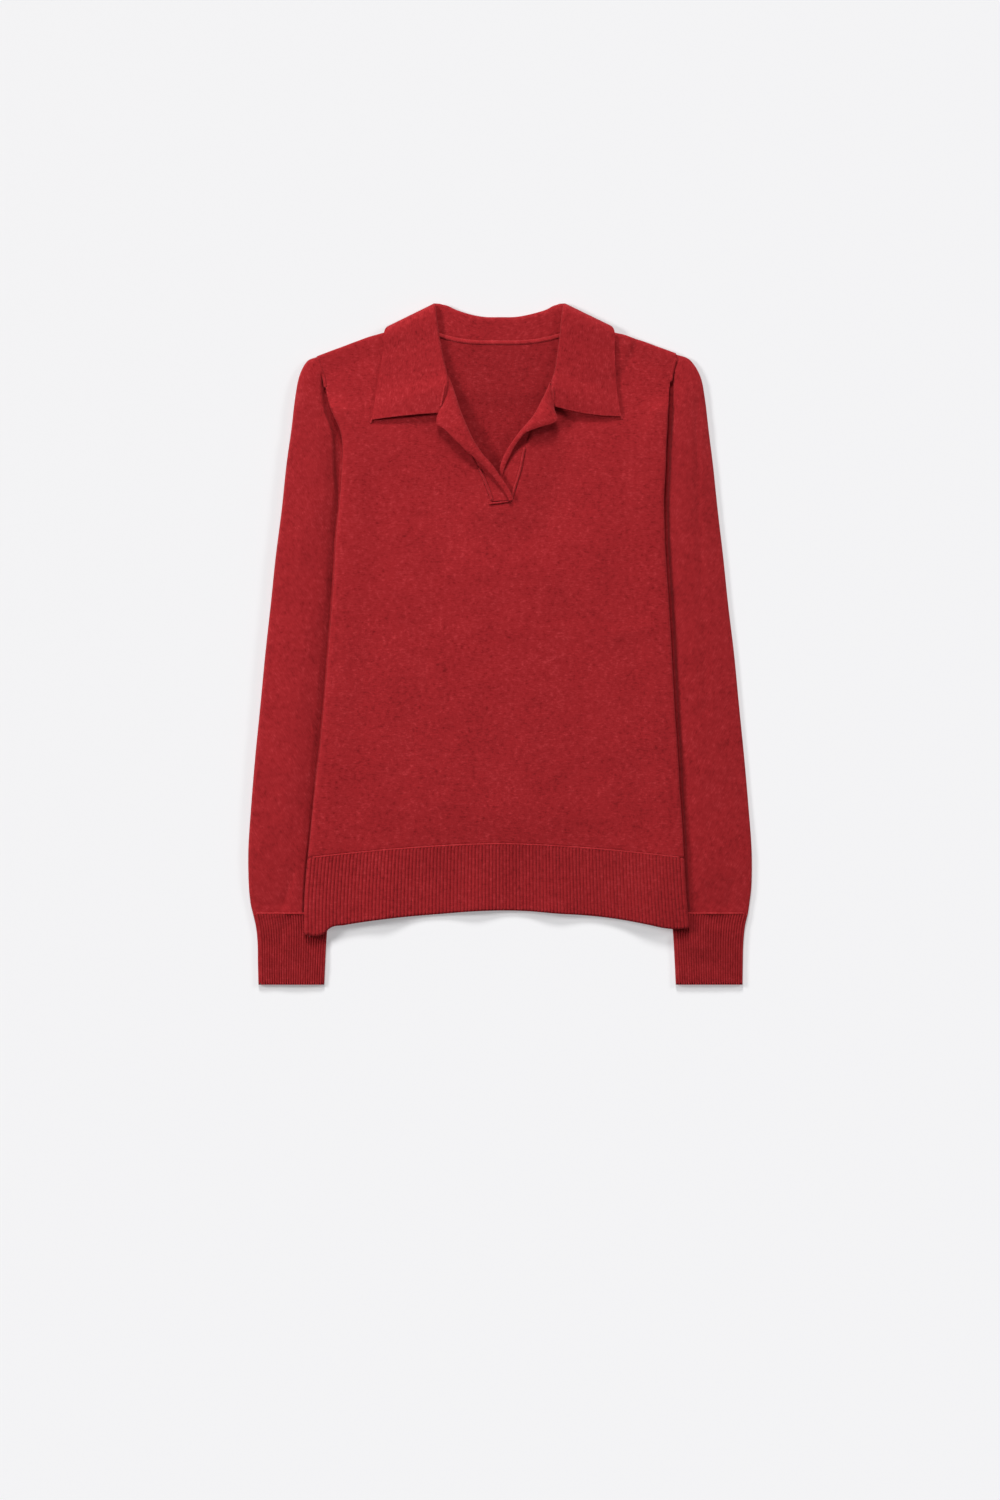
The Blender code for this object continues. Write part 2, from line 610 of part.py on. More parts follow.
def cuff(name, side, material):
    rows = rows_of(CUFF)
    outer = np.array([cuff_ring(side, row, 0.0, True) for row in rows])
    inner = np.array([cuff_ring(side, row, CLOTH, False) for row in (rows[0], rows[-1])])
    return tube_solid(name, outer, inner, material)


# ------------------------------------------------------------------ collar
def collar_section(side, row):
    """Neck seam, stand, fold and fall of one section, as points of the wall's middle."""
    layer, n_x, n_y, f_left, f_right, f_y, e_lx, e_ly, e_rx, e_ry = row
    turn = math.radians(layer)
    seam = np.array((side * n_x, n_y))
    fold = np.array((side * (f_left if side < 0 else f_right), f_y))
    edge = np.array((side * (e_lx if side < 0 else e_rx), e_ly if side < 0 else e_ry))
    stand = (fold - seam) / np.linalg.norm(fold - seam)
    outward = np.array((side * 0.5, 0.87)) * math.cos(turn)
    outside = np.array((*outward, math.sin(turn)))
    above = max(0.0, math.sin(turn))
    behind = max(0.0, -math.sin(turn))
    beside = 1 - above - behind
    on_back = float(back_mid(side * n_x, n_y))
    on_front = float(front_mid(seam[0], seam[1]))
    on_top = ease((262 - n_y) / 6) * (CLOTH + 3 * LAYER_GAP) if layer > 0 else 0.0
    seam_z = behind * on_back + above * (on_front + on_top) + beside * SHOULDER_Z
    fold_z = behind * BACK_FOLD_Z + above * (on_front + on_top + COLLAR_ROLL)
    fold_z = fold_z + beside * SHOULDER_Z
    roll = behind * BACK_ROLL + above * COLLAR_ROLL + beside * SIDE_ROLL_RADIUS
    rest = float(front_mid(edge[0], edge[1])) + CLOTH + 2 * LAYER_GAP
    edge_z = behind * CLOTH / 2 + above * rest + beside * SHOULDER_EDGE_Z
    inward = stand * roll
    before = np.array((*(fold - inward), fold_z)) - outside * roll
    after = np.array((*(fold - inward), fold_z)) + outside * roll
    quarter = math.sqrt(0.5)
    tip = np.array((*fold, fold_z))
    centre = np.array((*(fold - inward), fold_z))
    forward = np.array((*inward, 0.0))
    low_tip = centre + forward * quarter - outside * roll * quarter
    high_tip = centre + forward * quarter + outside * roll * quarter
    start = np.array((*seam, seam_z))
    points = [start, start + (before - start) * 0.5, before, low_tip, tip, high_tip, after]
    end = np.array((*edge, edge_z))
    for share in (0.2, 0.4, 0.6, 0.8, 1.0):
        point = after + (end - after) * share
        if layer > 45:
            rests = float(front_mid(point[0], point[1])) + CLOTH + 2 * LAYER_GAP
            point[2] = max(point[2], rests)
        points.append(point)
    return np.array(points)


def collar(material):
    left = [collar_section(-1, row) for row in rows_of(COLLAR)]
    right = [collar_section(1, row) for row in rows_of(COLLAR)]
    stations = np.array(left[::-1] + right[1:])
    return cloth_solid("collar", stations[:, ::-1].transpose(1, 0, 2), material)


def neck_seam(material):
    """The raised linking that joins the collar to the back, a low half-round cord."""
    half_width, height = 1.7, 1.3
    rings = []
    for x in np.linspace(-57, 57, 17):
        y = float(column(BACK_NECK, abs(x), "y"))
        z = float(back_mid(x, y)) + CLOTH / 2 + SEAM_GAP + 0.1
        angles = np.linspace(0, math.pi, 5)
        ring = [(x, y + half_width * math.cos(a), z + height * math.sin(a)) for a in angles]
        rings.append(ring)
    rings = np.array(rings)
    mesh_data = bmesh.new()
    rows = add_vertices(mesh_data, rings)
    for near, far in zip(rows, rows[1:]):
        for j in range(5):
            k = (j + 1) % 5
            mesh_data.faces.new((near[j], far[j], far[k], near[k]))
    mesh_data.faces.new(rows[0])
    mesh_data.faces.new(rows[-1][::-1])
    return add_object("back_neck_seam", mesh_data, material)


# ------------------------------------------------------------------ placket bands
def placket_section(row, lies):
    """A band from its seam over its roll to its free edge; lies is +1 on top, -1 below."""
    s_x, s_y, r_x, r_y, e_x, e_y, lift, turned = row
    seam, roll, free = np.array((s_x, s_y)), np.array((r_x, r_y)), np.array((e_x, e_y))
    seam_z = float(front_mid(s_x, s_y))
    free_z = float(front_mid(e_x, e_y)) + (CLOTH + LAYER_GAP + lift) * turned
    free_z = free_z + lies * BAND_SHIFT * (1 - turned)
    control = (8 * roll - seam - free) / 6
    flat_start = seam + (free - seam) * 0.15
    flat_end = seam + (free - seam) * 0.7
    near = flat_start + (control - flat_start) * turned
    far = flat_end + (control - flat_end) * turned
    near_z = seam_z + lies * BAND_SHIFT * (1 - turned)
    far_z = free_z + ROLL_RISE * turned
    corners = [np.array((*seam, seam_z)), np.array((*near, near_z)),
               np.array((*far, far_z)), np.array((*free, free_z))]
    points = []
    for t in np.linspace(0, 1, 9):
        weights = ((1 - t) ** 3, 3 * t * (1 - t) ** 2, 3 * t * t * (1 - t), t ** 3)
        points.append(sum(w * corner for w, corner in zip(weights, corners)))
    return np.array(points)


def placket(name, sections, lies, material):
    count = len(sections["turned"])
    keyed = {"section": np.arange(count), **sections}
    steps = np.linspace(0, count - 1, 15)
    rows = [[float(column(keyed, step, key)) for key in sections] for step in steps]
    surface = np.array([placket_section(row, lies) for row in rows])
    if lies < 0:
        surface = surface[:, ::-1]
    return cloth_solid(name, surface, material)


# ------------------------------------------------------------------ the sweater
def main():
    for old in list(bpy.data.objects):
        bpy.data.objects.remove(old)
    jersey = knit_material("red_jersey", RED)
    collar_knit = knit_material("red_collar_knit", RED)
    ribbing = knit_material("red_rib", DARKER_RED)
    front_panel(jersey)
    back_panel(jersey)
    hem_ribs(ribbing)
    for word, side in (("left", -1), ("right", 1)):
        sleeve(f"sleeve_{word}", side, jersey)
        cuff(f"cuff_{word}", side, ribbing)
    collar(collar_knit)
    neck_seam(collar_knit)
    placket("placket_left", PLACKET_LEFT, 1, collar_knit)
    placket("placket_right", PLACKET_RIGHT, -1, collar_knit)


main()
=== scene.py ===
# %% [markdown]
# # A polo sweater laid flat
#
# This lesson dresses a long-sleeved knitted polo sweater that lies on its back on a pale table.
# The imported model already holds every piece of it as a plain solid at its real size. Here each
# solid is replaced by a thin shell of cloth that follows the same form with many more points,
# so that ribs, rolls, seams and soft creases are real geometry, and then the knit is coloured.
#
# X runs across the sweater, +Y runs to the collar and +Z is up from the table. The tables below
# are in millimetres, because that is how a pattern maker measures, and meshes are in metres.

# %% Load the fixed frame and list its parts
import math

import bmesh
import bpy
import numpy as np
from mathutils import Matrix
from mathutils.bvhtree import BVHTree


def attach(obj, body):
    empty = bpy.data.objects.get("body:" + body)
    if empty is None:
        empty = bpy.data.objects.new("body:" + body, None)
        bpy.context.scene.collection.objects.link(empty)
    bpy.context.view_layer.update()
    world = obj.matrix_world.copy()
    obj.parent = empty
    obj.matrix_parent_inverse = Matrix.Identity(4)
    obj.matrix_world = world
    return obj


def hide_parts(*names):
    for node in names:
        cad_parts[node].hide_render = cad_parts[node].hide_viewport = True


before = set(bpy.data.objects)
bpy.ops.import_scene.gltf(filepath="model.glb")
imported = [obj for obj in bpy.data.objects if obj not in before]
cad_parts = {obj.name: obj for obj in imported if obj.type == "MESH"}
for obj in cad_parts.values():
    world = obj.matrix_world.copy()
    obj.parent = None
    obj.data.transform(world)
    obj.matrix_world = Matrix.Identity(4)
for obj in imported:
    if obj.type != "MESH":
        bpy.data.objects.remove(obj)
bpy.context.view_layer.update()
print("frame:", sorted(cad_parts))

MM = 0.001
scene = bpy.context.scene

# %% [markdown]
# ## Camera
#
# The sweater was photographed from straight above. The picture is 1000 by 1500 pixels, and one
# pixel is one millimetre of the sweater, so the view is 1.0 m wide and 1.5 m high. A long lens
# from 3.5 m keeps the edges free of perspective. Blender measures the sensor along the long
# side of the picture, so the distance follows from the view's height.

# %% Camera straight above the table
VIEW_HEIGHT = 1.5
VIEW_CENTRE = (0.0, -0.1065)
CLOTH_LEVEL = 0.008

camera_data = bpy.data.cameras.new("camera_above")
camera_data.lens = 85
camera_data.sensor_width = 36
camera_distance = VIEW_HEIGHT * camera_data.lens / camera_data.sensor_width
camera = bpy.data.objects.new("camera_above", camera_data)
camera.location = (*VIEW_CENTRE, camera_distance + CLOTH_LEVEL)
scene.collection.objects.link(camera)
scene.camera = camera
print(f"camera {camera_distance:.2f} m above the cloth")

# %% [markdown]
# ## Table top and light
#
# Three round lamps stand low around the sweater: a large one beyond the collar, a near one at
# the left and a weak one at the right. Each edge and crease throws a soft shadow, and the
# right-hand side is a little darker, as in the photograph. The paper in such a picture is lit by
# itself until it is evenly bright. Here it glows by just as much as the lamps leave it short of
# that, which a few nodes work out from the distance to each lamp. On a level surface a lamp's
# light falls off with the cube of its distance: twice for the distance itself, and once for the
# flatter angle.

# %% Node helpers
def set_inputs(tree, node, inputs):
    """Gives each named input its value, or a link where the value is another node's output."""
    for key, value in inputs.items():
        if isinstance(value, bpy.types.NodeSocket):
            tree.links.new(value, node.inputs[key])
        else:
            node.inputs[key].default_value = value


def add_node(tree, kind, inputs, **settings):
    """Adds a shader node, sets or links its inputs and returns its first output."""
    made = tree.nodes.new(kind)
    for key, value in settings.items():
        setattr(made, key, value)
    set_inputs(tree, made, inputs)
    return made.outputs[0]


def calculate(tree, operation, *values):
    return add_node(tree, "ShaderNodeMath", dict(enumerate(values)), operation=operation)


# %% Lamps, room and plain colour management
WARM_WHITE = (1.0, 0.995, 0.985)
ROOM_TINT = (0.97, 0.985, 1.0, 1.0)
ROOM_LIGHT = 0.13
SOFTBOXES = (           # name, place in m, radius in m, share of the light on the paper
    ("softbox_beyond_collar", (-0.60, 6.70, 4.24), 1.0, 0.40),
    ("softbox_left", (-2.00, 0.50, 1.40), 0.34, 0.35),
    ("softbox_right", (4.40, 1.60, 2.70), 0.60, 0.12),
)


def softbox(name, place, radius, share):
    """A round lamp that gives its share of full brightness to paper at the origin."""
    lamp = bpy.data.lights.new(name, "POINT")
    distance = math.dist(place, (0, 0, 0))
    lamp.energy = share * 4 * math.pi ** 2 * distance ** 3 / place[2]
    lamp.shadow_soft_size = radius
    lamp.use_soft_falloff = False
    lamp.color = WARM_WHITE
    bulb = bpy.data.objects.new(name, lamp)
    bulb.location = place
    scene.collection.objects.link(bulb)


for box in SOFTBOXES:
    softbox(*box)
room = bpy.data.worlds.new("white_room")
room.use_nodes = True
set_inputs(room.node_tree, room.node_tree.nodes["Background"],
           {"Color": ROOM_TINT, "Strength": ROOM_LIGHT})
scene.world = room
scene.view_settings.view_transform = "Standard"
scene.view_settings.look = "None"
print("lit by", [lamp.name for lamp in bpy.data.lights if lamp.users])

# %% Evenly bright paper
PAPER_WHITE = 0.922     # brightness of the paper in the picture
PAPER_TINT = (0.982, 0.982, 1.0)
LAMP_LIT = 0.72         # the share of it that the lamps would give at the origin
TABLE_HALF = 4.0        # m
TABLE_DROP = 0.0004     # m below the cloth, so that their faces never fall together

floor_mesh = bmesh.new()
bmesh.ops.create_grid(floor_mesh, x_segments=1, y_segments=1, size=TABLE_HALF)
floor_data = bpy.data.meshes.new("table_top")
floor_mesh.to_mesh(floor_data)
floor_mesh.free()
floor_data.transform(Matrix.Translation((0, 0, -TABLE_DROP)))
floor = bpy.data.objects.new("table_top", floor_data)
scene.collection.objects.link(floor)

floor_paint = bpy.data.materials.new("pale_paper")
floor_paint.use_nodes = True
paper_nodes = floor_paint.node_tree
spot = paper_nodes.nodes.new("ShaderNodeTexCoord").outputs["Object"]
lit = ROOM_LIGHT
for _, place, _, share in SOFTBOXES:
    away = add_node(paper_nodes, "ShaderNodeVectorMath", {0: spot, 1: place}, operation="DISTANCE")
    falloff = calculate(paper_nodes, "POWER", away.node.outputs["Value"], -3.0)
    full = share * math.dist(place, (0, 0, 0)) ** 3
    lit = calculate(paper_nodes, "MULTIPLY_ADD", falloff, full, lit)
short_of = calculate(paper_nodes, "MULTIPLY_ADD", lit, -LAMP_LIT, 1.0)
short_of = calculate(paper_nodes, "MAXIMUM", short_of, 0.0)
glow = calculate(paper_nodes, "MULTIPLY", short_of, PAPER_WHITE)
set_inputs(paper_nodes, paper_nodes.nodes["Principled BSDF"], {
    "Base Color": (*(PAPER_WHITE * LAMP_LIT * c for c in PAPER_TINT), 1.0),
    "Roughness": 0.9, "Specular IOR Level": 0.0,
    "Emission Color": (*PAPER_TINT, 1.0), "Emission Strength": glow,
})
floor_data.materials.append(floor_paint)

# %% [markdown]
# ## Measurements
#
# A table has a name for each column and a row for each station. `along` reads a smooth curve
# through one column, so a short table gives as many points as a shell needs. These are the same
# measurements that the solids were built from, which is why each shell lies on its solid.

# %% Sizes of the cloth
CLOTH = 1.6             # wall of the knit
LAYER_GAP = 0.4         # air between two cloths that lie on each other
BODY_FILL = 0.6         # how far the front bridges the space between the tucked sleeves
BODY_CROWN = 1.5        # and rises above it in the middle
BRIDGE = 105.0          # width over which the chest comes down from a tucked sleeve
BRIDGE_TOP = 300.0      # height on the armhole where it starts to
TUCK_LIFT = 5.0         # how far the tucked sleeve raises the body
COLLAR_LIFT = 1.95      # how far the collar's fall behind raises the back
HEAD_PUFF = 0.6         # how far the front stands up at its sides, beside the sleeve heads
SIDE_PUFF = 2.4         # and below them
SHOULDER_PUFF = 1.2     # and along the shoulders
PLACKET_PUFF = 4.0      # and beside the placket,
PLACKET_REACH = 45.0    # over this width
SIDE_ROLL = 4.0         # width of the quarter circle at the side seam
SHOULDER_ROLL = 2.2     # and at the shoulder seam
CUFF_HEIGHT = 4.2
CUFF_TOP, CUFF_END = -270.0, -341.5
HEM_RIBS, CUFF_RIBS = 108, 26
RIB_DEPTH = 1.8         # from the top of a rib to the valley beside it
SEAM_GROOVE = 0.2       # how deep the line between jersey and rib lies
KNITTED_GAP = 0.05      # between pieces that were knitted on to each other


def table(columns, rows):
    """A table's columns by name, from its rows. Curves are read along the first one."""
    return {name: np.array(values, float) for name, values in zip(columns.split(), zip(*rows))}


def rows_of(a_table):
    return list(zip(*a_table.values()))


def along(a_table, key, name):
    """A smooth curve through one column of a table whose first column is the key."""
    keys, values = next(iter(a_table.values())), a_table[name]
    if keys[0] > keys[-1]:
        keys, values = keys[::-1], values[::-1]
    slopes = np.gradient(values, keys)
    key = np.clip(np.asarray(key, float), keys[0], keys[-1])
    i = np.clip(np.searchsorted(keys, key) - 1, 0, len(keys) - 2)
    span = keys[i + 1] - keys[i]
    t = (key - keys[i]) / span
    start, end = values[i], values[i + 1]
    turn = 3 * (end - start) - span * (2 * slopes[i] + slopes[i + 1])
    twist = 2 * (start - end) + span * (slopes[i] + slopes[i + 1])
    return start + t * (span * slopes[i] + t * (turn + t * twist))


def ease(value, start, width):
    """0 up to the start, then smoothly to 1 over the width. A negative width goes downwards."""
    t = np.clip((value - start) / width, 0.0, 1.0)
    return t * t * (3 - 2 * t)


def line(start, end, t):
    return start + (end - start) * t


# %% Outlines of the body
BODY_EDGE = table("y left right", (
    (-292, 196, 190), (-264, 196, 187.5), (-232, 194, 185.3), (-188, 189.5, 183),
    (-145, 185, 180), (-107, 180.5, 177.8), (-66, 176.5, 175), (-23, 173, 172.7),
    (21, 169.5, 170.4), (54, 167, 168.2), (80, 165.5, 166.4), (105, 164, 165.2),
    (147, 160, 164.5), (178, 158, 166), (203, 158, 166.7), (215, 160.5, 167.6),
    (227, 166, 168), (247, 173.5, 169.5), (267, 177, 172), (287, 184, 176.8),
))
SHOULDER = table("x left right", (
    (86, 320.5, 320.5), (100, 316, 316), (114, 311.3, 310.8), (124, 308.4, 308.6),
    (134, 305.5, 305), (143, 302.3, 302.2), (158, 296.6, 296.7), (172, 291.4, 291.6),
    (184, 286.8, 287),
))
NECK_CUT = table("y left right", (
    (142, 7.8, 11.3), (151, 10.6, 13.3), (163, 15.4, 17), (176, 21, 20.8), (188, 27.5, 23),
    (202, 34.5, 26.2), (216, 41.5, 32), (231, 48.5, 41), (244, 55.6, 50), (252, 61, 60),
    (263, 67, 66.5), (276, 74, 74), (291, 80.5, 80.5), (306, 85, 85), (321, 86, 86),
))
BACK_NECK = table("x y", (
    (0, 301.5), (16, 301.5), (32, 302.5), (47, 305), (60, 308.5), (73, 313.5), (86, 320.5),
))
TUCK = table("y x", (
    (-295, 173), (-270, 172), (-243, 167), (-212, 160), (-175, 150), (-136, 141),
    (-98, 132), (-62, 125), (-28, 119), (4, 115), (32, 113), (58, 112), (84, 112.5),
    (104, 116.5), (122, 126.5), (138, 138), (152, 143.5), (175, 147), (214, 153), (227, 160),
    (250, 170),
))
COLLAR_UNDER = table("x y", (
    (0, 260), (35, 262), (70, 266), (90, 272), (105, 278), (118, 288), (130, 310), (140, 340),
))
HEM_EDGE = table("x y", (
    (-196, -290.5), (-190, -292.3), (-177, -290.5), (-170, -284.5), (-156, -281.7),
    (-136, -278.5), (-109, -275), (-61, -270.8), (-20, -267.7), (25, -267.7), (61, -270.5),
    (85, -272), (118, -275.7), (150, -281.5), (164, -284.5), (175, -285.6), (191, -284.5),
))
NECK_SIDE_X = 86.0
CUT_FOOT, PLACKET_FOOT = 142.0, 141.7
CENTRE_X = 1.0          # the placket's middle, which lies a little to the right
HEM_SEAM_SIDE = -214.5
HEM_SEAM_RISE = 14.0    # how much higher the rib begins in the middle
HEM_HALF = 192.5


def by_side(a_table, x, key):
    """The left or the right column of a table, by the sign of x."""
    return np.where(np.asarray(x) < 0, along(a_table, key, "left"), along(a_table, key, "right"))


def body_edge(x, y):
    return by_side(BODY_EDGE, x, y)


def shoulder_y(x):
    return by_side(SHOULDER, x, np.abs(x))


def hem_seam_y(x, half):
    """The line where the jersey ends and the rib begins, higher in the middle."""
    return HEM_SEAM_SIDE + HEM_SEAM_RISE * (1 - (np.abs(x) / half) ** 1.6)


# %% [markdown]
# ## How high the cloth lies
#
# Everything that lies on something else follows from a few height functions. The back lies on
# the table, on the sleeves that are tucked under it and on the collar that is folded behind it.
# The front lies on the back. Folds are soft ridges and troughs along listed lines, each
# with its own length, width and height. A trough catches no light on one side, which is all that
# the eye needs to see a crease in knitted cloth.

# %% Heights of back, front and sleeves
HEM_WAVES = table("x half_width height", (
    (-114, 21, 3.9), (-24, 22, 3.8), (56, 25, 4.2), (148, 19, 3.0),
))
HEM_DROP = 0.6          # how much nearer the table the hem lies between its waves
FOLD_COLUMNS = "x0 y0 x1 y1 half_width height"
FRONT_FOLDS = table(FOLD_COLUMNS, (
    (104, 7, 158, 19, 9, 0.8),
    (112, -106, 160, -92, 11, 0.6),
    (62, 40, 86, -150, 30, -0.9),
    (-40, -10, -60, -170, 34, 0.8),
    (20, 20, 26, -190, 34, 0.8),
))
SLEEVE_FOLDS = table(FOLD_COLUMNS, (
    (197, 244, 197.5, 150, 3.5, -1.0),
    (197.5, 150, 202, 60, 4, -0.9),
    (202, 60, 207, -70, 5, -0.7),
    (-186, 120, -193, 20, 8, -0.8),
    (-205, -225, -217, -264, 5, -1.1),
    (-188, -232, -193, -264, 4, -1.0),
    (208, -240, 212, -264, 5, -0.9),
    (232, -238, 228, -264, 4, -0.8),
))
SLEEVE_EDGE = table("y left right", (
    (-270, 247.5, 248.5), (-240, 251.7, 252), (-205, 252, 252), (-160, 249, 248.7),
    (-112, 245, 244.5), (-62, 240, 239.5), (-10, 235, 234.5), (40, 229.5, 228.5),
    (88, 224.5, 223.5), (135, 218.5, 218), (178, 214, 213.5), (214, 209, 209),
    (246, 205.2, 205.2), (258, 203.2, 203.2), (268, 200.8, 200.4), (276, 197.4, 196.8),
    (282, 192.6, 191.8), (288, 184, 183),
))
SLEEVE_RELIEF = table(
    "y valley_left crest_left top_left rim_left valley_right crest_right top_right rim_right", (
    (-262, 4.2, 40, 4.2, 4.2, 4.2, 34, 4.2, 4.2),
    (-236, 3.6, 42, 6.4, 5.8, 3.6, 30, 5.8, 4.6),
    (-160, 1.8, 32, 8.4, 7.0, 3.6, 26, 6.8, 3.4),
    (-60, 1.2, 30, 9.4, 7.6, 3.6, 24, 8.0, 3.4),
    (50, 1.0, 28, 9.8, 7.8, 3.6, 25, 8.4, 3.6),
    (150, 1.2, 27, 9.8, 7.8, 3.4, 23, 8.6, 3.8),
    (200, 2.0, 27, 9.4, 7.6, 3.2, 21, 8.4, 4.0),
    (240, 3.4, 26, 8.6, 7.0, 2.6, 17, 8.0, 4.4),
    (262, 4.6, 20, 7.4, 6.2, 2.6, 14, 7.0, 4.8),
    (276, 5.4, 12, 6.4, 5.4, 3.4, 9, 6.0, 4.6),
    (288, 5.0, 6, 5.4, 5.0, 4.6, 6, 5.0, 4.6),
))
RECESS = table("y left right", (
    (-262, 1.0, 1.6), (-160, 1.2, 2.4), (-60, 1.4, 3.0), (50, 1.6, 3.2), (110, 1.8, 3.4),
    (146, 2.6, 3.6), (154, 4.2, 3.6), (166, 7.0, 3.7), (182, 9.0, 3.8), (198, 9.4, 4.0),
    (214, 8.4, 4.2), (232, 6.4, 4.4), (250, 3.8, 4.0), (264, 2.0, 2.6), (272, 0, 0.6),
    (278, 0, 0),
))
RECESS_SLOPE = 0.32     # how steeply the left one's floor climbs away from the body
RECESS_FLOOR = 0.7      # top of the sleeves in the deep valley beside the body
RECESS_REACH = 30.0     # how far under the body it goes on
RECESS_LEAST = 0.3      # width below which there is none
SLEEVE_LEAST = 8.0      # width of the sleeve beside the body that its relief counts with
CREST_SHARE = 0.85      # of that width, within which the crest stays
DEEPEST_FOLD = -0.3     # how far a fold may go below the front's lowest form


def below_armhole(y):
    """0 at the sleeve head, 1 where the body lies on top of the tucked sleeve."""
    return ease(y, 250, -18)


def fold_height(folds, x, y):
    """Soft ridges and troughs laid along straight lines, fading at both ends."""
    total = np.zeros(np.broadcast(x, y).shape)
    for x0, y0, x1, y1, half_width, height in rows_of(folds):
        length = math.hypot(x1 - x0, y1 - y0)
        down_it = ((x - x0) * (x1 - x0) + (y - y0) * (y1 - y0)) / length
        across = ((x - x0) * (y1 - y0) - (y - y0) * (x1 - x0)) / length
        ends = ease(down_it, -half_width, 2 * half_width)
        ends = ends * ease(down_it, length + half_width, -2 * half_width)
        total = total + height * ends * np.exp(-(across / half_width) ** 2)
    return total


def back_mid(x, y):
    """Middle of the back's wall: on the table, on the tucked sleeves, on the collar."""
    out = np.abs(x)
    on_sleeve = TUCK_LIFT * below_armhole(y) * ease(out - along(TUCK, y, "x"), -28, 24)
    on_collar = COLLAR_LIFT * ease(y - along(COLLAR_UNDER, out, "y"), -30, 24)
    return np.maximum(on_sleeve, on_collar) + CLOTH / 2


def hem_wave(x, y):
    """The front hem's waves, highest at its free edge."""
    total = 0.0
    for centre, half_width, height in rows_of(HEM_WAVES):
        total = total + height * np.exp(-((x - centre) / half_width) ** 2)
    return (total - HEM_DROP) * ease(y, -195, -75)


def front_mid(x, y):
    """Middle of the front's wall, over the back."""
    puff = HEAD_PUFF + (SIDE_PUFF - HEAD_PUFF) * below_armhole(y)
    puff = puff * ease(np.abs(x) - body_edge(x, y), -42, 30)
    puff = puff + SHOULDER_PUFF * ease(y - shoulder_y(x), -22, 18)
    beside = np.maximum(0, np.abs(x - CENTRE_X) - by_side(NECK_CUT, x, y))
    from_placket = np.hypot(beside, np.maximum(0, CUT_FOOT - y))
    placket = PLACKET_PUFF * (1 - 0.6 * ease(y, 190, 110))
    puff = puff + placket * (1 - ease(from_placket, 0, PLACKET_REACH))
    relief = fold_height(FRONT_FOLDS, x, y) * ease(body_edge(x, y) - np.abs(x), 6, 14)
    relief = np.maximum(relief + body_fill(x, y), DEEPEST_FOLD)
    return back_mid(x, y) + CLOTH + LAYER_GAP + puff + hem_wave(x, y) + relief


def body_fill(x, y):
    """How far the front stays up between the sleeves that are tucked behind it."""
    out, tuck = np.abs(x), along(TUCK, y, "x")
    sag = np.maximum(TUCK_LIFT + CLOTH / 2 - back_mid(x, y), 0)
    crown = BODY_CROWN * np.clip(1 - (out / (tuck + 6)) ** 2, 0, 1)
    middle = ease(y, 150, -90) * ease(y, -250, 90)
    bridge = TUCK_LIFT * ease(y, BRIDGE_TOP, -110) * ease(out - tuck, -BRIDGE, BRIDGE)
    bridge = np.maximum(bridge - TUCK_LIFT + sag, 0)
    at_armhole = (1 - ease(y, 290, -65)) * (1 - ease(body_edge(x, y) - out, 0, 34))
    return np.maximum(BODY_FILL * sag * middle, bridge * (1 - at_armhole)) + crown * middle


def sleeve_relief(name, x, y):
    """A column of the sleeve's relief, for the side that x is on."""
    left, right = (along(SLEEVE_RELIEF, y, f"{name}_{word}") for word in ("left", "right"))
    return np.where(np.asarray(x) < 0, left, right)


def sleeve_top(x, y):
    """Top of the flattened sleeve: a valley beside the body, a crest, then down to its rim."""
    out = np.abs(x) - body_edge(x, y)
    width = np.maximum(by_side(SLEEVE_EDGE, x, y) - body_edge(x, y), SLEEVE_LEAST)
    crest = np.minimum(sleeve_relief("crest", x, y), CREST_SHARE * width)
    valley, top, rim = (sleeve_relief(name, x, y) for name in ("valley", "top", "rim"))
    rise = np.sin(np.clip(out / crest, 0, 1) * math.pi / 2)
    fall = np.clip((out - crest) / (width - crest), 0, 1) ** 2
    height = valley + (top - valley) * rise - (top - rim) * fall
    height = height + fold_height(SLEEVE_FOLDS, x, y) * ease(out, 6, 12)
    recess = by_side(RECESS, x, y)
    slope = np.where(np.asarray(x) < 0, RECESS_SLOPE, 0.0)
    bottom = RECESS_FLOOR + slope * np.clip(out, 0, None)
    floor = bottom + (height - bottom) * ease(out - recess, -1.2, 2.4)
    deep = (out > -RECESS_REACH) & (recess > RECESS_LEAST)
    return np.where(deep, np.minimum(height, floor), height)


print("the front is", float(front_mid(0.0, 0.0)), "mm up in the middle")

# %% [markdown]
# ## Laying a grid on a form
#
# A piece of cloth is a grid: courses run across it and wales run along it. So each piece starts
# from Blender's own grid, whose points are then laid on the form, and the Solidify modifier
# gives it a wall. Where the real cloth is open, such as in the neck, the grid's faces are
# deleted. Each point also remembers how far along the cloth it is, in the UV map `knit`, so that
# stitches later follow the cloth round its rolls.

# %% Helpers that make a piece of cloth
def lengths(points, axis):
    """How far along the cloth each point of a grid lies, in one direction, in mm."""
    steps = np.linalg.norm(np.diff(points, axis=axis), axis=2)
    first = np.zeros_like(np.take(steps, [0], axis=axis))
    return np.cumsum(np.concatenate((first, steps), axis=axis), axis=axis)


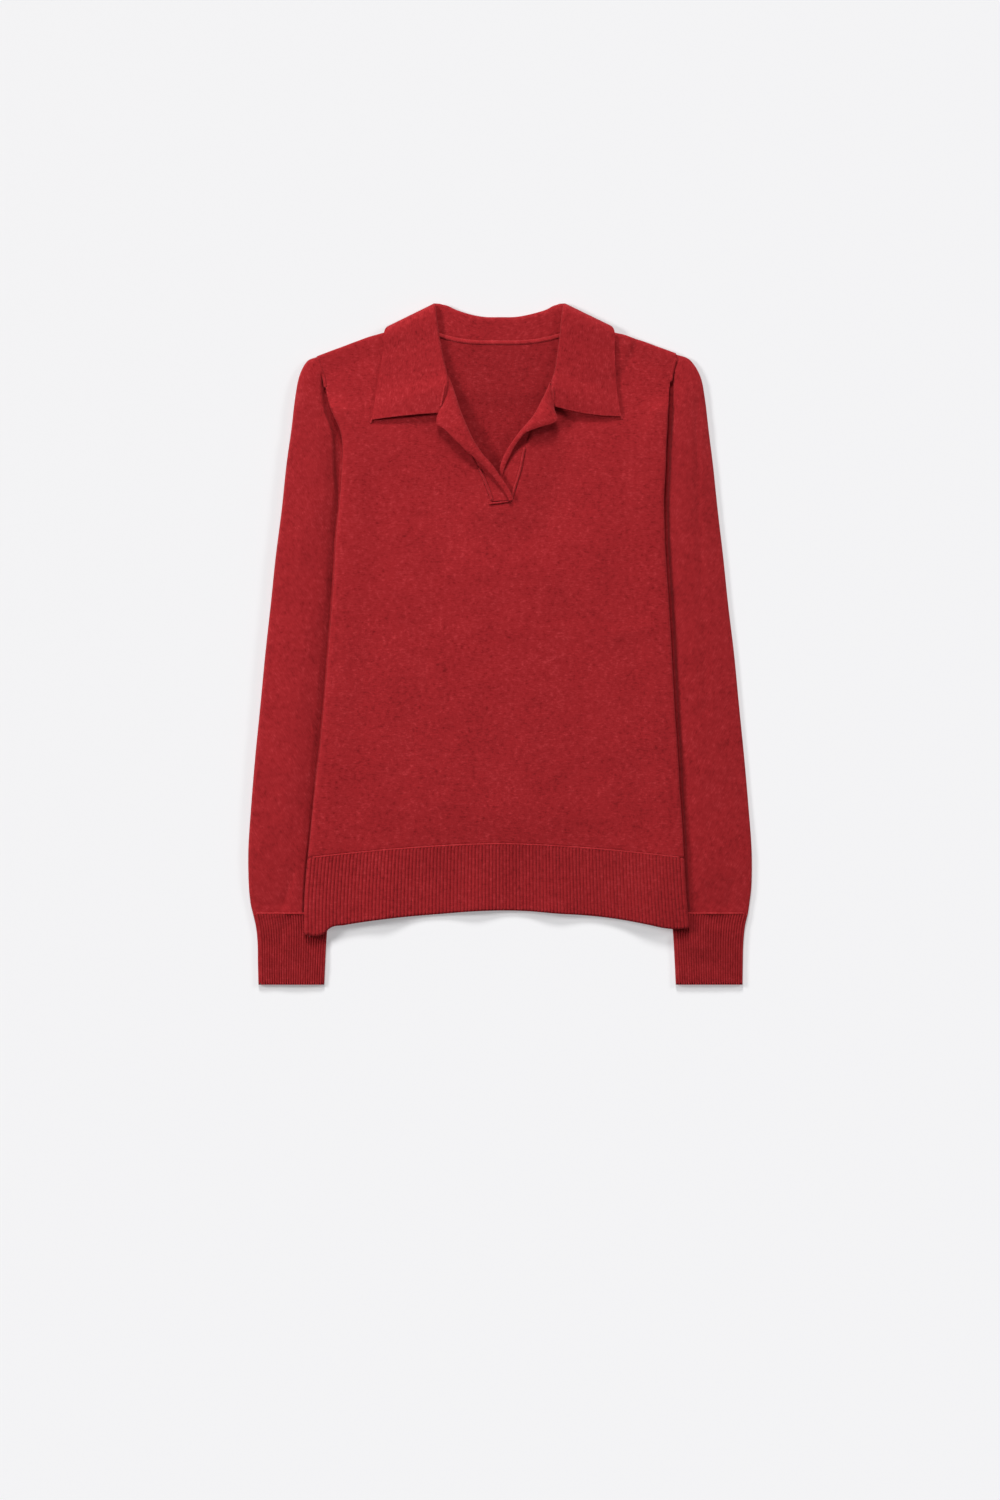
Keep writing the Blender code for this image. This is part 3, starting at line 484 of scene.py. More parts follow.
def laid_grid(points, knit=None, opening=None):
    """A bmesh grid whose points are moved on to the form. Faces in the opening are deleted."""
    if knit is None:
        knit = np.dstack((lengths(points, 1), lengths(points, 0)))
    rows, columns, _ = points.shape
    mesh = bmesh.new()
    stitches = mesh.loops.layers.uv.new("knit")
    bmesh.ops.create_grid(mesh, x_segments=columns - 1, y_segments=rows - 1, size=0.5)
    place = {}
    for vertex in mesh.verts:
        column = round((vertex.co.x + 0.5) * (columns - 1))
        row = round((vertex.co.y + 0.5) * (rows - 1))
        place[vertex] = (row, column)
        vertex.co = points[row, column] * MM
    for face in mesh.faces:
        for loop in face.loops:
            loop[stitches].uv = knit[place[loop.vert]] * MM
    if opening is not None:
        holes = []
        for face in mesh.faces:
            corners = [place[vertex] for vertex in face.verts]
            if opening[min(row for row, _ in corners), min(column for _, column in corners)]:
                holes.append(face)
        bmesh.ops.delete(mesh, geom=holes, context="FACES")
    return mesh


def finish_piece(name, mesh, material, node=None, wall=CLOTH, side=0.0, edge_bevel=0.0):
    """Links a bmesh as a named object with a wall, which rides on the sweater."""
    data = bpy.data.meshes.new(name)
    mesh.to_mesh(data)
    mesh.free()
    data.materials.append(material)
    data.shade_smooth()
    piece = bpy.data.objects.new(name, data)
    scene.collection.objects.link(piece)
    thick = piece.modifiers.new("wall", "SOLIDIFY")
    thick.thickness = wall * MM
    thick.offset = side
    if edge_bevel:
        soft = piece.modifiers.new("soft_edge", "BEVEL")
        soft.width = edge_bevel * MM
        soft.segments = 2
        soft.limit_method = "ANGLE"
        soft.angle_limit = math.radians(60)
    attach(piece, "root")
    if node:
        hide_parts(node)
    print(f"{name}: {len(data.polygons)} faces")
    return piece


def even_steps(length, first, last, growth=1.35):
    """Distances from an edge: close together at first, then no more than last apart."""
    steps, step, reached = [0.0], first, 0.0
    while reached + step < length:
        reached += step
        steps.append(reached)
        step = min(step * growth, last)
    steps[-1] = length
    return np.array(steps)


def patch(bottom, top, left, right, s, t):
    """Fills the space between four curves: s runs from left to right, t from bottom to top."""
    s, t = s[None, :, None], t[:, None, None]
    from_sides = (1 - s) * left[:, None] + s * right[:, None]
    from_ends = (1 - t) * bottom[None] + t * top[None]
    corners = (1 - t) * ((1 - s) * bottom[0] + s * bottom[-1])
    corners = corners + t * ((1 - s) * top[0] + s * top[-1])
    return from_sides + from_ends - corners


def pairs(x, y):
    return np.stack(np.broadcast_arrays(x, y), axis=-1).astype(float)


# %% [markdown]
# ## The knit
#
# Fine melange jersey has three things to see. Fibres of lighter and darker red are spun into one
# yarn, so the colour is mottled in short streaks along the courses. Up close there are columns
# of V-shaped stitches. And the cloth has a nap: a veil of fine fibres that lightens its edges,
# which the shader's sheen gives. One function builds the material, and each piece of the sweater
# gets its own version with its own depth of stitch and its own tone. The darker tones are
# painted shade, and the lighter tone of the seams is a painted highlight.

# %% The knit material
DARK_FIBRE = (0.225, 0.0080, 0.0110, 1.0)
MAIN_FIBRE = (0.352, 0.0155, 0.0200, 1.0)
LIGHT_FIBRE = (0.490, 0.0350, 0.0420, 1.0)
FIBRES, FLECKS, CLOUDS = 0.46, 0.40, 0.14      # shares of the three noises in the mottling
WALE = 0.00135          # width of a column of stitches, m
COURSE = 0.00105        # height of a row of stitches, m
LEG_SLANT = 1.2         # rows by which a stitch's leg rises towards the wale's edge, per wale
FUZZ = 1.6              # of the fibres, against the stitches' height


def shade(colour, tone):
    return (*(channel * tone for channel in colour[:3]), 1.0)


def stitch_height(tree, uv, wale, course):
    """Columns of V-shaped stitches: two slanting legs to a wale, one V to a course."""
    split = tree.nodes.new("ShaderNodeSeparateXYZ")
    tree.links.new(uv, split.inputs[0])
    wales = calculate(tree, "DIVIDE", split.outputs["X"], wale)
    place = calculate(tree, "FRACT", wales)
    from_middle = calculate(tree, "ABSOLUTE", calculate(tree, "SUBTRACT", place, 0.5))
    courses = calculate(tree, "DIVIDE", split.outputs["Y"], course)
    slanted = calculate(tree, "MULTIPLY_ADD", from_middle, LEG_SLANT, courses)
    rounds = calculate(tree, "SINE", calculate(tree, "MULTIPLY", slanted, 2 * math.pi))
    legs = calculate(tree, "SINE", calculate(tree, "MULTIPLY", wales, 2 * math.pi))
    legs = calculate(tree, "ABSOLUTE", legs)
    return calculate(tree, "MULTIPLY_ADD", rounds, 0.25, legs)


def knit_material(name, tone=1.0, stitch_depth=0.00018, nap=0.10):
    """Melange knit: mottled reds, V stitches in the bump, and a soft nap."""
    material = bpy.data.materials.new(name)
    material.use_nodes = True
    tree = material.node_tree
    place = tree.nodes.new("ShaderNodeTexCoord").outputs["Object"]
    uv = add_node(tree, "ShaderNodeUVMap", {}, uv_map="knit")
    streaks = add_node(tree, "ShaderNodeMapping", {"Vector": uv, "Scale": (0.45, 1.0, 1.0)})
    fibres, flecks, clouds = (
        add_node(tree, "ShaderNodeTexNoise",
                 {"Vector": vector, "Scale": scale, "Detail": detail, "Roughness": roughness})
        for vector, scale, detail, roughness in (
            (streaks, 620.0, 3.0, 0.65), (place, 210.0, 3.0, 0.6), (place, 26.0, 2.0, 0.5)))
    blend = calculate(tree, "MULTIPLY", flecks, FLECKS)
    blend = calculate(tree, "MULTIPLY_ADD", fibres, FIBRES, blend)
    blend = calculate(tree, "MULTIPLY_ADD", clouds, CLOUDS, blend)
    ramp = tree.nodes.new("ShaderNodeValToRGB")
    tree.links.new(blend, ramp.inputs["Fac"])
    ramp.color_ramp.interpolation = "EASE"
    ends = ramp.color_ramp.elements
    ends[0].position, ends[0].color = 0.34, shade(DARK_FIBRE, tone)
    ends[1].position, ends[1].color = 0.68, shade(LIGHT_FIBRE, tone)
    middle = ends.new(0.50)
    middle.color = shade(MAIN_FIBRE, tone)
    stitches = stitch_height(tree, uv, WALE, COURSE)
    fuzz = calculate(tree, "MULTIPLY_ADD", fibres, FUZZ, stitches)
    bump = add_node(tree, "ShaderNodeBump",
                    {"Height": fuzz, "Strength": 0.8, "Distance": stitch_depth})
    set_inputs(tree, tree.nodes["Principled BSDF"], {
        "Base Color": ramp.outputs["Color"], "Normal": bump,
        "Roughness": 0.92, "Specular IOR Level": 0.10,
        "Sheen Weight": nap, "Sheen Roughness": 0.55, "Sheen Tint": (1.0, 0.40, 0.40, 1.0),
    })
    print("finish:", name)
    return material


jersey = knit_material("melange_jersey")
# A slightly darker copy of the knit for collar and bands: painted shade against the near lamp
# beyond the collar.
collar_knit = knit_material("collar_jersey_painted_shade", tone=0.99, stitch_depth=0.00012)
# Ribbed knit in a darker tone: painted shade of the deep valleys between the ribs.
ribbing_painted_shade = knit_material("ribbed_knit_painted_shade", tone=0.93, stitch_depth=0.00014)
# The back's inner face, seen inside the neck, in a darker tone: painted shade of the neck's
# hollow.
reverse_side_painted_shade = knit_material("jersey_reverse_painted_shade", tone=0.84, nap=0.05)
# A lighter copy of the knit: painted highlight on the raised stitches of the seams.
linking_painted_highlight = knit_material("linking_thread_painted_highlight", tone=1.08, stitch_depth=0.00010, nap=0.22)

# %% [markdown]
# ## Front and back
#
# The front panel is two patches of cloth, one on each side of the placket, joined below its foot
# by a narrow strip. Each patch is filled in between its four real edges: hem line, side and
# armhole, shoulder, and neck. At the side seam both panels turn towards each other in a quarter
# circle, which is what gives a knitted garment its soft round edge, and points are set close
# together there.

# %% Plan and surface of the panels
SIDE_STEP = 0.35        # between points at a curled edge, mm
PANEL_STEP = 2.5        # between points in the middle of the front, mm
BACK_STEP = 3.6
LOW_PART, HIGH_PART = 350, 170      # length below and above the placket's foot
SIDE_FOOT = 139.0       # height on the side seam where the two parts meet
BACK_FOOT = 140.0       # and in the back's middle
HEAD_TOP = 287          # height of the armhole's top


def half_panel(side, step, neck_x, neck_foot, neck_top):
    """Plan points of half a panel, side seam to neck, and the row where the neck opens."""
    foot_x = float(neck_x(side, PLACKET_FOOT))
    out = HEM_HALF - foot_x
    s = even_steps(out, SIDE_STEP, step) / out
    low_t = even_steps(LOW_PART, step, step) / LOW_PART
    high_t = 1 - even_steps(HIGH_PART, SIDE_STEP, step)[::-1] / HIGH_PART
    edge_y = line(HEM_SEAM_SIDE, SIDE_FOOT, low_t)
    left = pairs(body_edge(side, edge_y) - CLOTH / 2, edge_y)
    hem_x = line(left[0, 0], foot_x, s)
    bottom = pairs(hem_x, hem_seam_y(hem_x, hem_x[0]))
    foot = pairs(line(left[-1, 0], foot_x, s), line(SIDE_FOOT, PLACKET_FOOT, s))
    right = pairs(foot_x, line(bottom[-1, 1], PLACKET_FOOT, low_t))
    low = patch(bottom, foot, left, right, s, low_t)
    top_x = float(body_edge(side, HEAD_TOP)) - CLOTH / 2
    edge_y = line(SIDE_FOOT, float(shoulder_y(side * top_x)), high_t)
    left = pairs(body_edge(side, edge_y) - CLOTH / 2, edge_y)
    neck_y = line(neck_foot, neck_top, high_t)
    right = pairs(neck_x(side, neck_y), neck_y)
    if right[-1, 0] > 0:
        shoulder_x = line(left[-1, 0], right[-1, 0], s)
        top = pairs(shoulder_x, shoulder_y(side * shoulder_x))
    else:
        top = over_neck(side, left[-1, 0], s)
    high = patch(foot, top, left, right, s, high_t)
    plan = np.concatenate((low, high[1:]))
    plan[..., 0] *= side
    return plan, len(low) - 1


def over_neck(side, outer_x, s):
    """The back's top edge: along the shoulder, then along the neck to the middle."""
    x = outer_x * (1 - s)
    turn = np.argmin(np.abs(x - NECK_SIDE_X))
    x[:turn + 1] = outer_x - (outer_x - NECK_SIDE_X) * (s[:turn + 1] / s[turn])
    x[turn:] = NECK_SIDE_X * (1 - (s[turn:] - s[turn]) / (1 - s[turn]))
    y = np.where(x >= NECK_SIDE_X, shoulder_y(side * x), along(BACK_NECK, x, "y"))
    return pairs(x, y)


def curl(distance, roll):
    """A quarter circle: 1 at the edge, 0 from one roll's width inside it on."""
    turn = 1 - np.clip(distance / roll, 0, 1)
    return 1 - np.sqrt(np.clip(1 - turn ** 2, 0, 1))


def panel_surface(plan, height, direction):
    """The panel's middle surface, curled towards its fellow at side seam and shoulder."""
    x, y = plan[..., 0], plan[..., 1]
    flat = height(x, y)
    meeting = (back_mid(x, y) + front_mid(x, y)) / 2 + direction * KNITTED_GAP
    at_side = curl(body_edge(x, y) - CLOTH / 2 - np.abs(x), SIDE_ROLL) * below_armhole(y)
    on_shoulder = np.abs(x) >= NECK_SIDE_X - 0.1
    at_top = np.where(on_shoulder, curl(shoulder_y(x) - y, SHOULDER_ROLL), 0.0)
    return np.dstack((x, y, line(flat, meeting, np.maximum(at_side, at_top))))


# %% Soft unevenness of cloth that has been worn and washed
WAVES = 14


def unevenness(x, y, height, seed, wave=(22, 70)):
    """A sum of long low waves in all directions, the same on every run."""
    rng = np.random.default_rng(seed)
    total = np.zeros(np.broadcast(x, y).shape)
    for _ in range(WAVES):
        turn = rng.uniform(0, math.pi)
        length = rng.uniform(*wave)
        start = rng.uniform(0, 2 * math.pi)
        total += np.sin((x * math.cos(turn) + y * math.sin(turn)) * 2 * math.pi / length + start)
    return total * height / 4


# %% Front panel
def neck_cut(side, y):
    """Distance of the neck's cut edge from the middle, at heights y."""
    return by_side(NECK_CUT, side, y)


def front_cloth():
    """Two halves and the strip between them, open from the placket's foot up."""
    top = float(shoulder_y(NECK_SIDE_X))
    (left, foot), (right, _) = (
        half_panel(side, PANEL_STEP, neck_cut, PLACKET_FOOT, top) for side in (-1, 1))
    right = right[:, ::-1]
    across = np.linspace(0, 1, 10)[1:-1]
    strip = line(left[:, -1:], right[:, :1], across[None, :, None])
    plan = np.concatenate((left, strip, right), axis=1)
    points = panel_surface(plan, front_mid, 1)
    x, y = points[..., 0], points[..., 1]
    calm = ease(body_edge(x, y) - np.abs(x), 0, 30)
    points[..., 2] += unevenness(x, y, 0.16, seed=3) * calm
    opening = np.zeros(points.shape[:2], bool)
    opening[foot:, left.shape[1] - 1:left.shape[1] + len(across)] = True
    mesh = laid_grid(points, points[..., :2], opening)
    return finish_piece("front_jersey", mesh, jersey, "front_panel")


front = front_cloth()


# %% Back panel
def middle_line(side, y):
    return np.zeros_like(y)


def back_cloth():
    """Two halves that meet in the middle, the reverse side inside darker as painted shade."""
    top = float(along(BACK_NECK, 0.0, "y"))
    left, right = (
        half_panel(side, BACK_STEP, middle_line, BACK_FOOT, top)[0] for side in (-1, 1))
    plan = np.concatenate((left, right[:, -2::-1]), axis=1)
    points = panel_surface(plan, back_mid, -1)
    mesh = laid_grid(points, points[..., :2])
    # the inner face gets the darker copy of the knit, which is painted shade
    piece = finish_piece("back_jersey", mesh, reverse_side_painted_shade, "back_panel")
    piece.data.materials.append(jersey)
    piece.modifiers["wall"].material_offset = 1
    piece.modifiers["wall"].material_offset_rim = 1
    return piece


back = back_cloth()

# %% [markdown]
# ## Ribbed hem
#
# One by one rib is a row of round ridges with narrow valleys, a ridge every 3.5 mm here. They
# show from a step away, so they are geometry: the grid has six points to a rib, and the points
# go up and down with it. The front hem also lifts off the table in four soft waves.

# %% Rib profile and the hem
POINTS_PER_RIB = 6
RIB_ROUNDNESS = 0.75
RIB_LEVEL = 0.62        # share of a rib's depth that lies below the cloth's own surface
RIB_ROWS = np.concatenate((np.linspace(1, 0.06, 25), (0.035, 0.018, 0.008, 0.0)))
GROOVE_SHARE = 0.03     # of the rib's height, over which the groove at its seam runs out


def rib_profile(place):
    """Height of a rib for a place counted in ribs: round tops, narrow valleys."""
    return RIB_DEPTH * (np.abs(np.sin(math.pi * place)) ** RIB_ROUNDNESS - RIB_LEVEL)


def hem_plan(columns, shorter=0.0):
    """Plan points of a hem rib: columns across, rows from its free edge to its seam."""
    edge = np.abs(columns)
    seam_y = hem_seam_y(columns, edge.max()) - KNITTED_GAP
    plan = np.zeros((len(RIB_ROWS), len(columns), 2))
    for i, down in enumerate(RIB_ROWS):
        x = columns.copy()
        for _ in range(3):
            free_y = along(HEM_EDGE, x, "y") + shorter
            y = seam_y + (free_y - seam_y) * down
            x = columns * (body_edge(columns, y) - CLOTH / 2) / edge.max()
        plan[i] = pairs(x, y)
    return plan


def hem_cloth(name, node, height, direction, shorter):
    """One side of the hem: ribbed where it shows, and curled at both side seams."""
    flat_half = HEM_HALF - SIDE_ROLL
    rolled = HEM_HALF - SIDE_ROLL * (1 - np.cos(np.linspace(0, math.pi / 2, 7)[:-1]))
    flat = np.linspace(-flat_half, flat_half, POINTS_PER_RIB * HEM_RIBS + 1)
    columns = np.concatenate((-rolled, flat, rolled[::-1]))
    points = panel_surface(hem_plan(columns, shorter), height, direction)
    place = (columns + flat_half) / (2 * flat_half) * HEM_RIBS
    ribs = rib_profile(place)[None, :] * direction
    groove = SEAM_GROOVE * (1 - ease(RIB_ROWS, 0, GROOVE_SHARE))[:, None]
    points[..., 2] += (ribs - groove) * (direction > 0)
    knit = pairs(columns[None, :] + 0 * points[..., 0], points[..., 1])
    return finish_piece(name, laid_grid(points, knit), ribbing_painted_shade, node)


hem_front = hem_cloth("hem_rib_front_knit", "hem_rib_front", front_mid, 1, 0.0)
hem_back = hem_cloth("hem_rib_back_knit", "hem_rib_back", back_mid, -1, 1.5)

# %% [markdown]
# ## Sleeves
#
# Each sleeve is a tube that lies flat. Its rings are read from a table: the outer point, the
# point tucked under the body, and how much of the armhole's curve the ring still keeps. The grid
# is laid round the rings, and its first and last columns are merged, so that it is one tube.

# %% Rings of a flattened tube
SLEEVE = table("ring y_left y_right outer_left outer_right inner_y inner bow", (
    (0, 287.2, 289.8, 183.4, 176.4, 150, 155, 1.0),
    (1, 282.5, 284.2, 193.4, 190.2, 137, 141, 0.8),
    (2, 268, 268, 201, 200.6, 122, 127, 0.5),
    (3, 246, 246, 205.2, 205.2, 104, 117, 0.25),
    (4, 214, 214, 209, 209, 84, 113, 0.1),
    (5, 178, 178, 214, 213.5, 58, 112, 0),
    (6, 135, 135, 218.5, 218, 32, 113, 0),
    (7, 88, 88, 224.5, 223.5, 4, 115, 0),
    (8, 40, 40, 229.5, 228.5, -28, 119, 0),
    (9, -10, -10, 235, 234.5, -62, 125, 0),
    (10, -62, -62, 240, 239.5, -98, 132, 0),
    (11, -112, -112, 245, 244.5, -136, 141, 0),
    (12, -160, -160, 249, 248.7, -175, 150, 0),
    (13, -205, -205, 252, 252, -212, 160, 0),
    (14, -240, -240, 251.7, 252, -243, 167, 0),
    (15, -259, -259, 250, 250, -260, 171, 0),
    (16, -270.4, -270.4, 247.4, 248.4, -270.4, 172.3, 0),
))
CUFF = table("y outer_left outer_right inner", (
    (-270, 247.5, 248.5, 172.3),
    (-283, 244.5, 245.5, 172.8),
    (-297, 243, 244, 173.8),
    (-320, 242.5, 243.3, 175),
    (-341.5, 242, 243, 176),
))
LAST_RING = 16
SLEEVE_ROLLS = (3.4, 1.2)       # radius of the outer and of the tucked edge
CUFF_ROLLS = (2.6, 2.4)
HEAD_CLEARANCE = -0.6           # where the head's seam lies, out from the body's edge
HEAD_TUCK = 13.0                # how far the rest of the armhole's seam goes under the body
HEAD_CURVE = 0.06               # share of the width over which the head bends to its seam


def tube_ring(width, rolls, on_top, under, arc=6):
    """A flattened ring: distance from the outer edge, and height from 0 below to 1 on top."""
    outer, inner = rolls
    turn = np.linspace(0, math.pi / 2, arc + 1)[:-1]
    top = np.linspace(outer, width - inner, on_top + 1)
    low = np.linspace(width - inner, outer, under + 1)
    round_inner = np.linspace(math.pi / 2, -math.pi / 2, 2 * arc + 1)[1:-1]
    across = np.concatenate((outer * (1 - np.cos(turn)), top,
                             width - inner * (1 - np.cos(round_inner)), low,
                             outer * (1 - np.cos(turn[::-1]))))
    up = np.concatenate((0.5 + 0.5 * np.sin(turn), np.ones_like(top),
                         0.5 + 0.5 * np.sin(round_inner), np.zeros_like(low),
                         0.5 - 0.5 * np.sin(turn[::-1])))
    return across, up


def tube_cloth(name, points, material, node):
    """Lays a grid round a tube, closes it along its seam and gives it an inward wall."""
    mesh = laid_grid(points)
    bmesh.ops.remove_doubles(mesh, verts=mesh.verts, dist=0.00001)
    highest = max(mesh.faces, key=lambda face: face.calc_center_median().z)
    highest.normal_update()
    if highest.normal.z < 0:
        bmesh.ops.reverse_faces(mesh, faces=mesh.faces)
    return finish_piece(name, mesh, material, node, side=-1.0)


# %% The two sleeves
SIDES = {"left": -1, "right": 1}


def sleeve_points(word, ring_count=250, on_top=84, under=14):
    """Rings of a sleeve. At its head a ring bends from the chord to the armhole's curve."""
    side = SIDES[word]
    columns = (f"outer_{word}", f"y_{word}", "inner", "inner_y", "bow")
    head_outer, head_top, head_inner, head_low, _ = (SLEEVE[name][0] for name in columns)
    rings = []
    for at in np.linspace(0, LAST_RING, ring_count):
        outer_x, outer_y, inner_x, inner_y, bow = (
            float(along(SLEEVE, at, name)) for name in columns)
        width = math.hypot(outer_x - inner_x, outer_y - inner_y)
        across, up = tube_ring(width, SLEEVE_ROLLS, on_top, under)
        share = across / width
        chord_x = line(head_outer, head_inner, share)
        chord_y = line(head_top, head_low, share)
        seam_x = body_edge(side, chord_y) + HEAD_CLEARANCE
        seam_x = seam_x - HEAD_TUCK * ease(chord_y, 278, -50)
        held = bow * ease(share, 0, HEAD_CURVE)
        x = line(outer_x, inner_x, share) + held * (seam_x - chord_x)
        y = line(outer_y, inner_y, share)
        height = sleeve_top(side * x, y)
        rings.append(np.stack((side * x, y, height * up), axis=1))
    return np.array(rings)


def sleeve_cloth(word, seed):
    points = sleeve_points(word)
    x, y, z = np.moveaxis(points, 2, 0)
    bumps = unevenness(x, y, 0.20, seed, wave=(18, 60))
    points[..., 2] += bumps * ease(z, 3, 2) * ease(y, -262, 30)
    return tube_cloth(f"sleeve_jersey_{word}", points, jersey, f"sleeve_{word}")


sleeves = [sleeve_cloth(word, seed) for word, seed in zip(SIDES, (11, 12))]

# %% The two cuffs
CUFF_FOLDS = table(FOLD_COLUMNS, (
    (-211, -268, -225, -326, 6, -1.1),
    (-190, -290, -196, -330, 8, 0.5),
    (214, -292, 218, -334, 10, -1.0),
    (232, -276, 236, -310, 6, 0.5),
))
CUFF_ARC = 5            # points round each of a cuff's rolled edges
CUFF_RIB_SHARE = 0.8    # of the hem's rib depth


def cuff_points(word, row_count=26):
    """Rings of a cuff, ribbed on top, where it is also a little uneven."""
    side = SIDES[word]
    per_side = POINTS_PER_RIB * CUFF_RIBS
    rings = []
    for y in np.linspace(CUFF_TOP + KNITTED_GAP, CUFF_END, row_count):
        outer_x, inner_x = (float(along(CUFF, y, name)) for name in (f"outer_{word}", "inner"))
        across, up = tube_ring(outer_x - inner_x, CUFF_ROLLS, per_side, per_side, CUFF_ARC)
        ribs = np.zeros(len(across))
        place = np.arange(per_side + 1) / POINTS_PER_RIB
        ribs[CUFF_ARC:CUFF_ARC + per_side + 1] = rib_profile(place) * CUFF_RIB_SHARE
        x, on_top = side * (outer_x - across), ease(up, 0.6, 0.4)
        soft = unevenness(x, y, 0.34, seed=21 + side, wave=(20, 48)) * on_top
        soft = soft + fold_height(CUFF_FOLDS, x, y) * on_top
        rings.append(np.stack((x, np.full(len(x), y), up * CUFF_HEIGHT + ribs + soft), axis=1))
    return np.array(rings)


cuffs = [tube_cloth(f"cuff_rib_{word}", cuff_points(word), ribbing_painted_shade, f"cuff_{word}")
         for word in SIDES]

# %% [markdown]
# ## Collar
#
# A knitted polo collar is one strip: a stand that rises from the neck seam, a soft fold, and a
# fall that comes down outside. Behind the neck the fall lies under the back, at the side of the
# neck the strip goes over the shoulder, and in front it lies on the chest as two wings. The
# table has one row for each section across that strip, and `layer` turns the section from
# behind (-90) over the shoulder (0) to the front (90).

# %% Sections of the collar
COLLAR = table(
    "section layer n_x n_y f_left f_right f_y tilt e_left_x e_left_y e_right_x e_right_y", (
    (0, -90, 0, 302.3, 0, 0, 326.2, 0, 0, 262, 0, 262),
    (1, -90, 15, 302.4, 15, 15, 326.4, 0, 24, 263, 24, 263),
    (2, -90, 31, 303.6, 29, 29, 328.8, 0, 47, 266, 47, 266),
    (3, -90, 45, 306, 43, 45, 333.2, 0, 70, 272, 70, 272),
    (4, -90, 58, 309.5, 52, 53, 337.3, 0, 89, 282, 89, 282),
    (5, -90, 68, 313.6, 57.5, 57.5, 338.8, 0, 102, 294, 101, 294),
    (6, -90, 76, 318, 61, 60, 339.7, 0, 113.7, 309.7, 113.5, 309.7),
    (7, -50, 81.5, 321, 63.8, 62.6, 339.6, 0, 113.4, 315.2, 112.4, 315.6),
    (8, 0, 86.3, 323.4, 64.6, 63.8, 338.6, 0, 112.9, 316.6, 111.3, 317.3),
    (9, 50, 84.6, 318, 64.8, 63.3, 335, 0, 115.8, 311.4, 114.4, 312),
    (10, 90, 83.4, 306.5, 63.4, 61.6, 323, 0, 116.5, 298, 115.2, 298),
    (11, 90, 79, 291.5, 61, 60, 305, 0, 118, 284, 115.2, 284),
    (12, 90, 72.4, 276.5, 57.3, 57.4, 286, 0, 121, 267, 116, 267),
    (13, 90, 65.5, 263.5, 53.9, 54.8, 271, 0, 124, 250, 117.3, 251),
    (14, 90, 62.3, 255.5, 52.4, 51.6, 258.5, 0, 126, 237, 119, 240),
    (15, 90, 66, 247, 55.6, 52.6, 244, 1, 127.3, 229.5, 120.3, 232),
    (16, 90, 70, 238.5, 60.2, 54.4, 233, 3.6, 128, 223.6, 121, 227),
))
FRONT_ROLL, BACK_ROLL, BESIDE_ROLL = 1.5, 2.1, 1.6      # radius of the fold
BACK_FOLD_Z, SHOULDER_Z, SHOULDER_EDGE_Z = 2.9, 4.3, 4.35
WING_SAG = {"left": -0.8, "right": 2.4}     # how far the wings' lower edges bow, mm
EDGE_LIFT = 0.9         # how far the wings' lower edges stand off the chest near the placket


def collar_section(word, at):
    """Neck seam, stand, fold and fall of one section, as points of the wall's middle."""
    row = {name: float(along(COLLAR, at, name)) for name in COLLAR}
    side = SIDES[word]
    turn = math.radians(np.clip(row["layer"], -90, 90))
    seam = np.array((side * row["n_x"], row["n_y"]))
    fold = np.array((side * row[f"f_{word}"], row["f_y"] + side * row["tilt"]))
    edge = np.array((side * row[f"e_{word}_x"], row[f"e_{word}_y"]))
    stand = (fold - seam) / np.linalg.norm(fold - seam)
    outward = np.array((side * 0.5, 0.87)) * math.cos(turn)
    outside = np.array((*outward, math.sin(turn)))
    above, behind = max(0.0, math.sin(turn)), max(0.0, -math.sin(turn))
    shares = np.array((behind, above, 1 - above - behind))
    on_top = float(ease(row["n_y"], 266, -12)) * (CLOTH + 3 * LAYER_GAP) * (turn > 0)
    on_front = float(front_mid(*seam)) + on_top
    rest = float(front_mid(*edge)) + CLOTH + 3 * LAYER_GAP
    seam_z, fold_z, edge_z, roll = (float(sum(shares * values)) for values in (
        (float(back_mid(*seam)), on_front, SHOULDER_Z),
        (BACK_FOLD_Z, on_front + FRONT_ROLL, SHOULDER_Z),
        (CLOTH / 2, rest, SHOULDER_EDGE_Z),
        (BACK_ROLL, FRONT_ROLL, BESIDE_ROLL)))
    forward = np.array((*(stand * roll), 0.0))
    centre = np.array((*fold, fold_z)) - forward
    start, end = np.array((*seam, seam_z)), np.array((*edge, edge_z))
    before = centre - outside * roll
    points = [line(start, before, t) for t in np.linspace(0, 1, 7)[:-1]]
    for angle in np.linspace(-90, 90, 9):
        a = math.radians(angle)
        points.append(centre + forward * math.cos(a) + outside * roll * math.sin(a))
    after = points[-1]
    for t in np.linspace(0, 1, 25)[1:]:
        point = line(after, end, t)
        point[1] -= WING_SAG[word] * math.sin(math.pi * t) * float(ease(at, 13, 3))
        rests = float(front_mid(point[0], point[1])) + CLOTH + 2 * LAYER_GAP
        rests = rests + float(ease(point[1], 285, -70)) * EDGE_LIFT * (1 - t) ** 0.6
        lying = float(ease(math.degrees(turn), 45, 30))
        point[2] = max(point[2], line(point[2], rests, lying)) if lying else point[2]
        points.append(point)
    return np.array(points)


# %% The collar as one strip
LAST_SECTION = 16

stations = np.linspace(0, LAST_SECTION, 129)
left, right = ([collar_section(word, at) for at in stations] for word in SIDES)
points = np.array(left[::-1] + right[1:])[:, ::-1].transpose(1, 0, 2)
collar = finish_piece("collar_knit", laid_grid(points), collar_knit, "collar",
                      edge_bevel=0.5)

# %% [markdown]
# ## Placket bands
#
# The two bands of the open placket are sewn to the front's cut edge. Near the foot they lie flat
# across each other, the left one on top, and above it each one turns outwards and falls open as
# a small lapel. A section runs from the seam over the roll to the free edge.

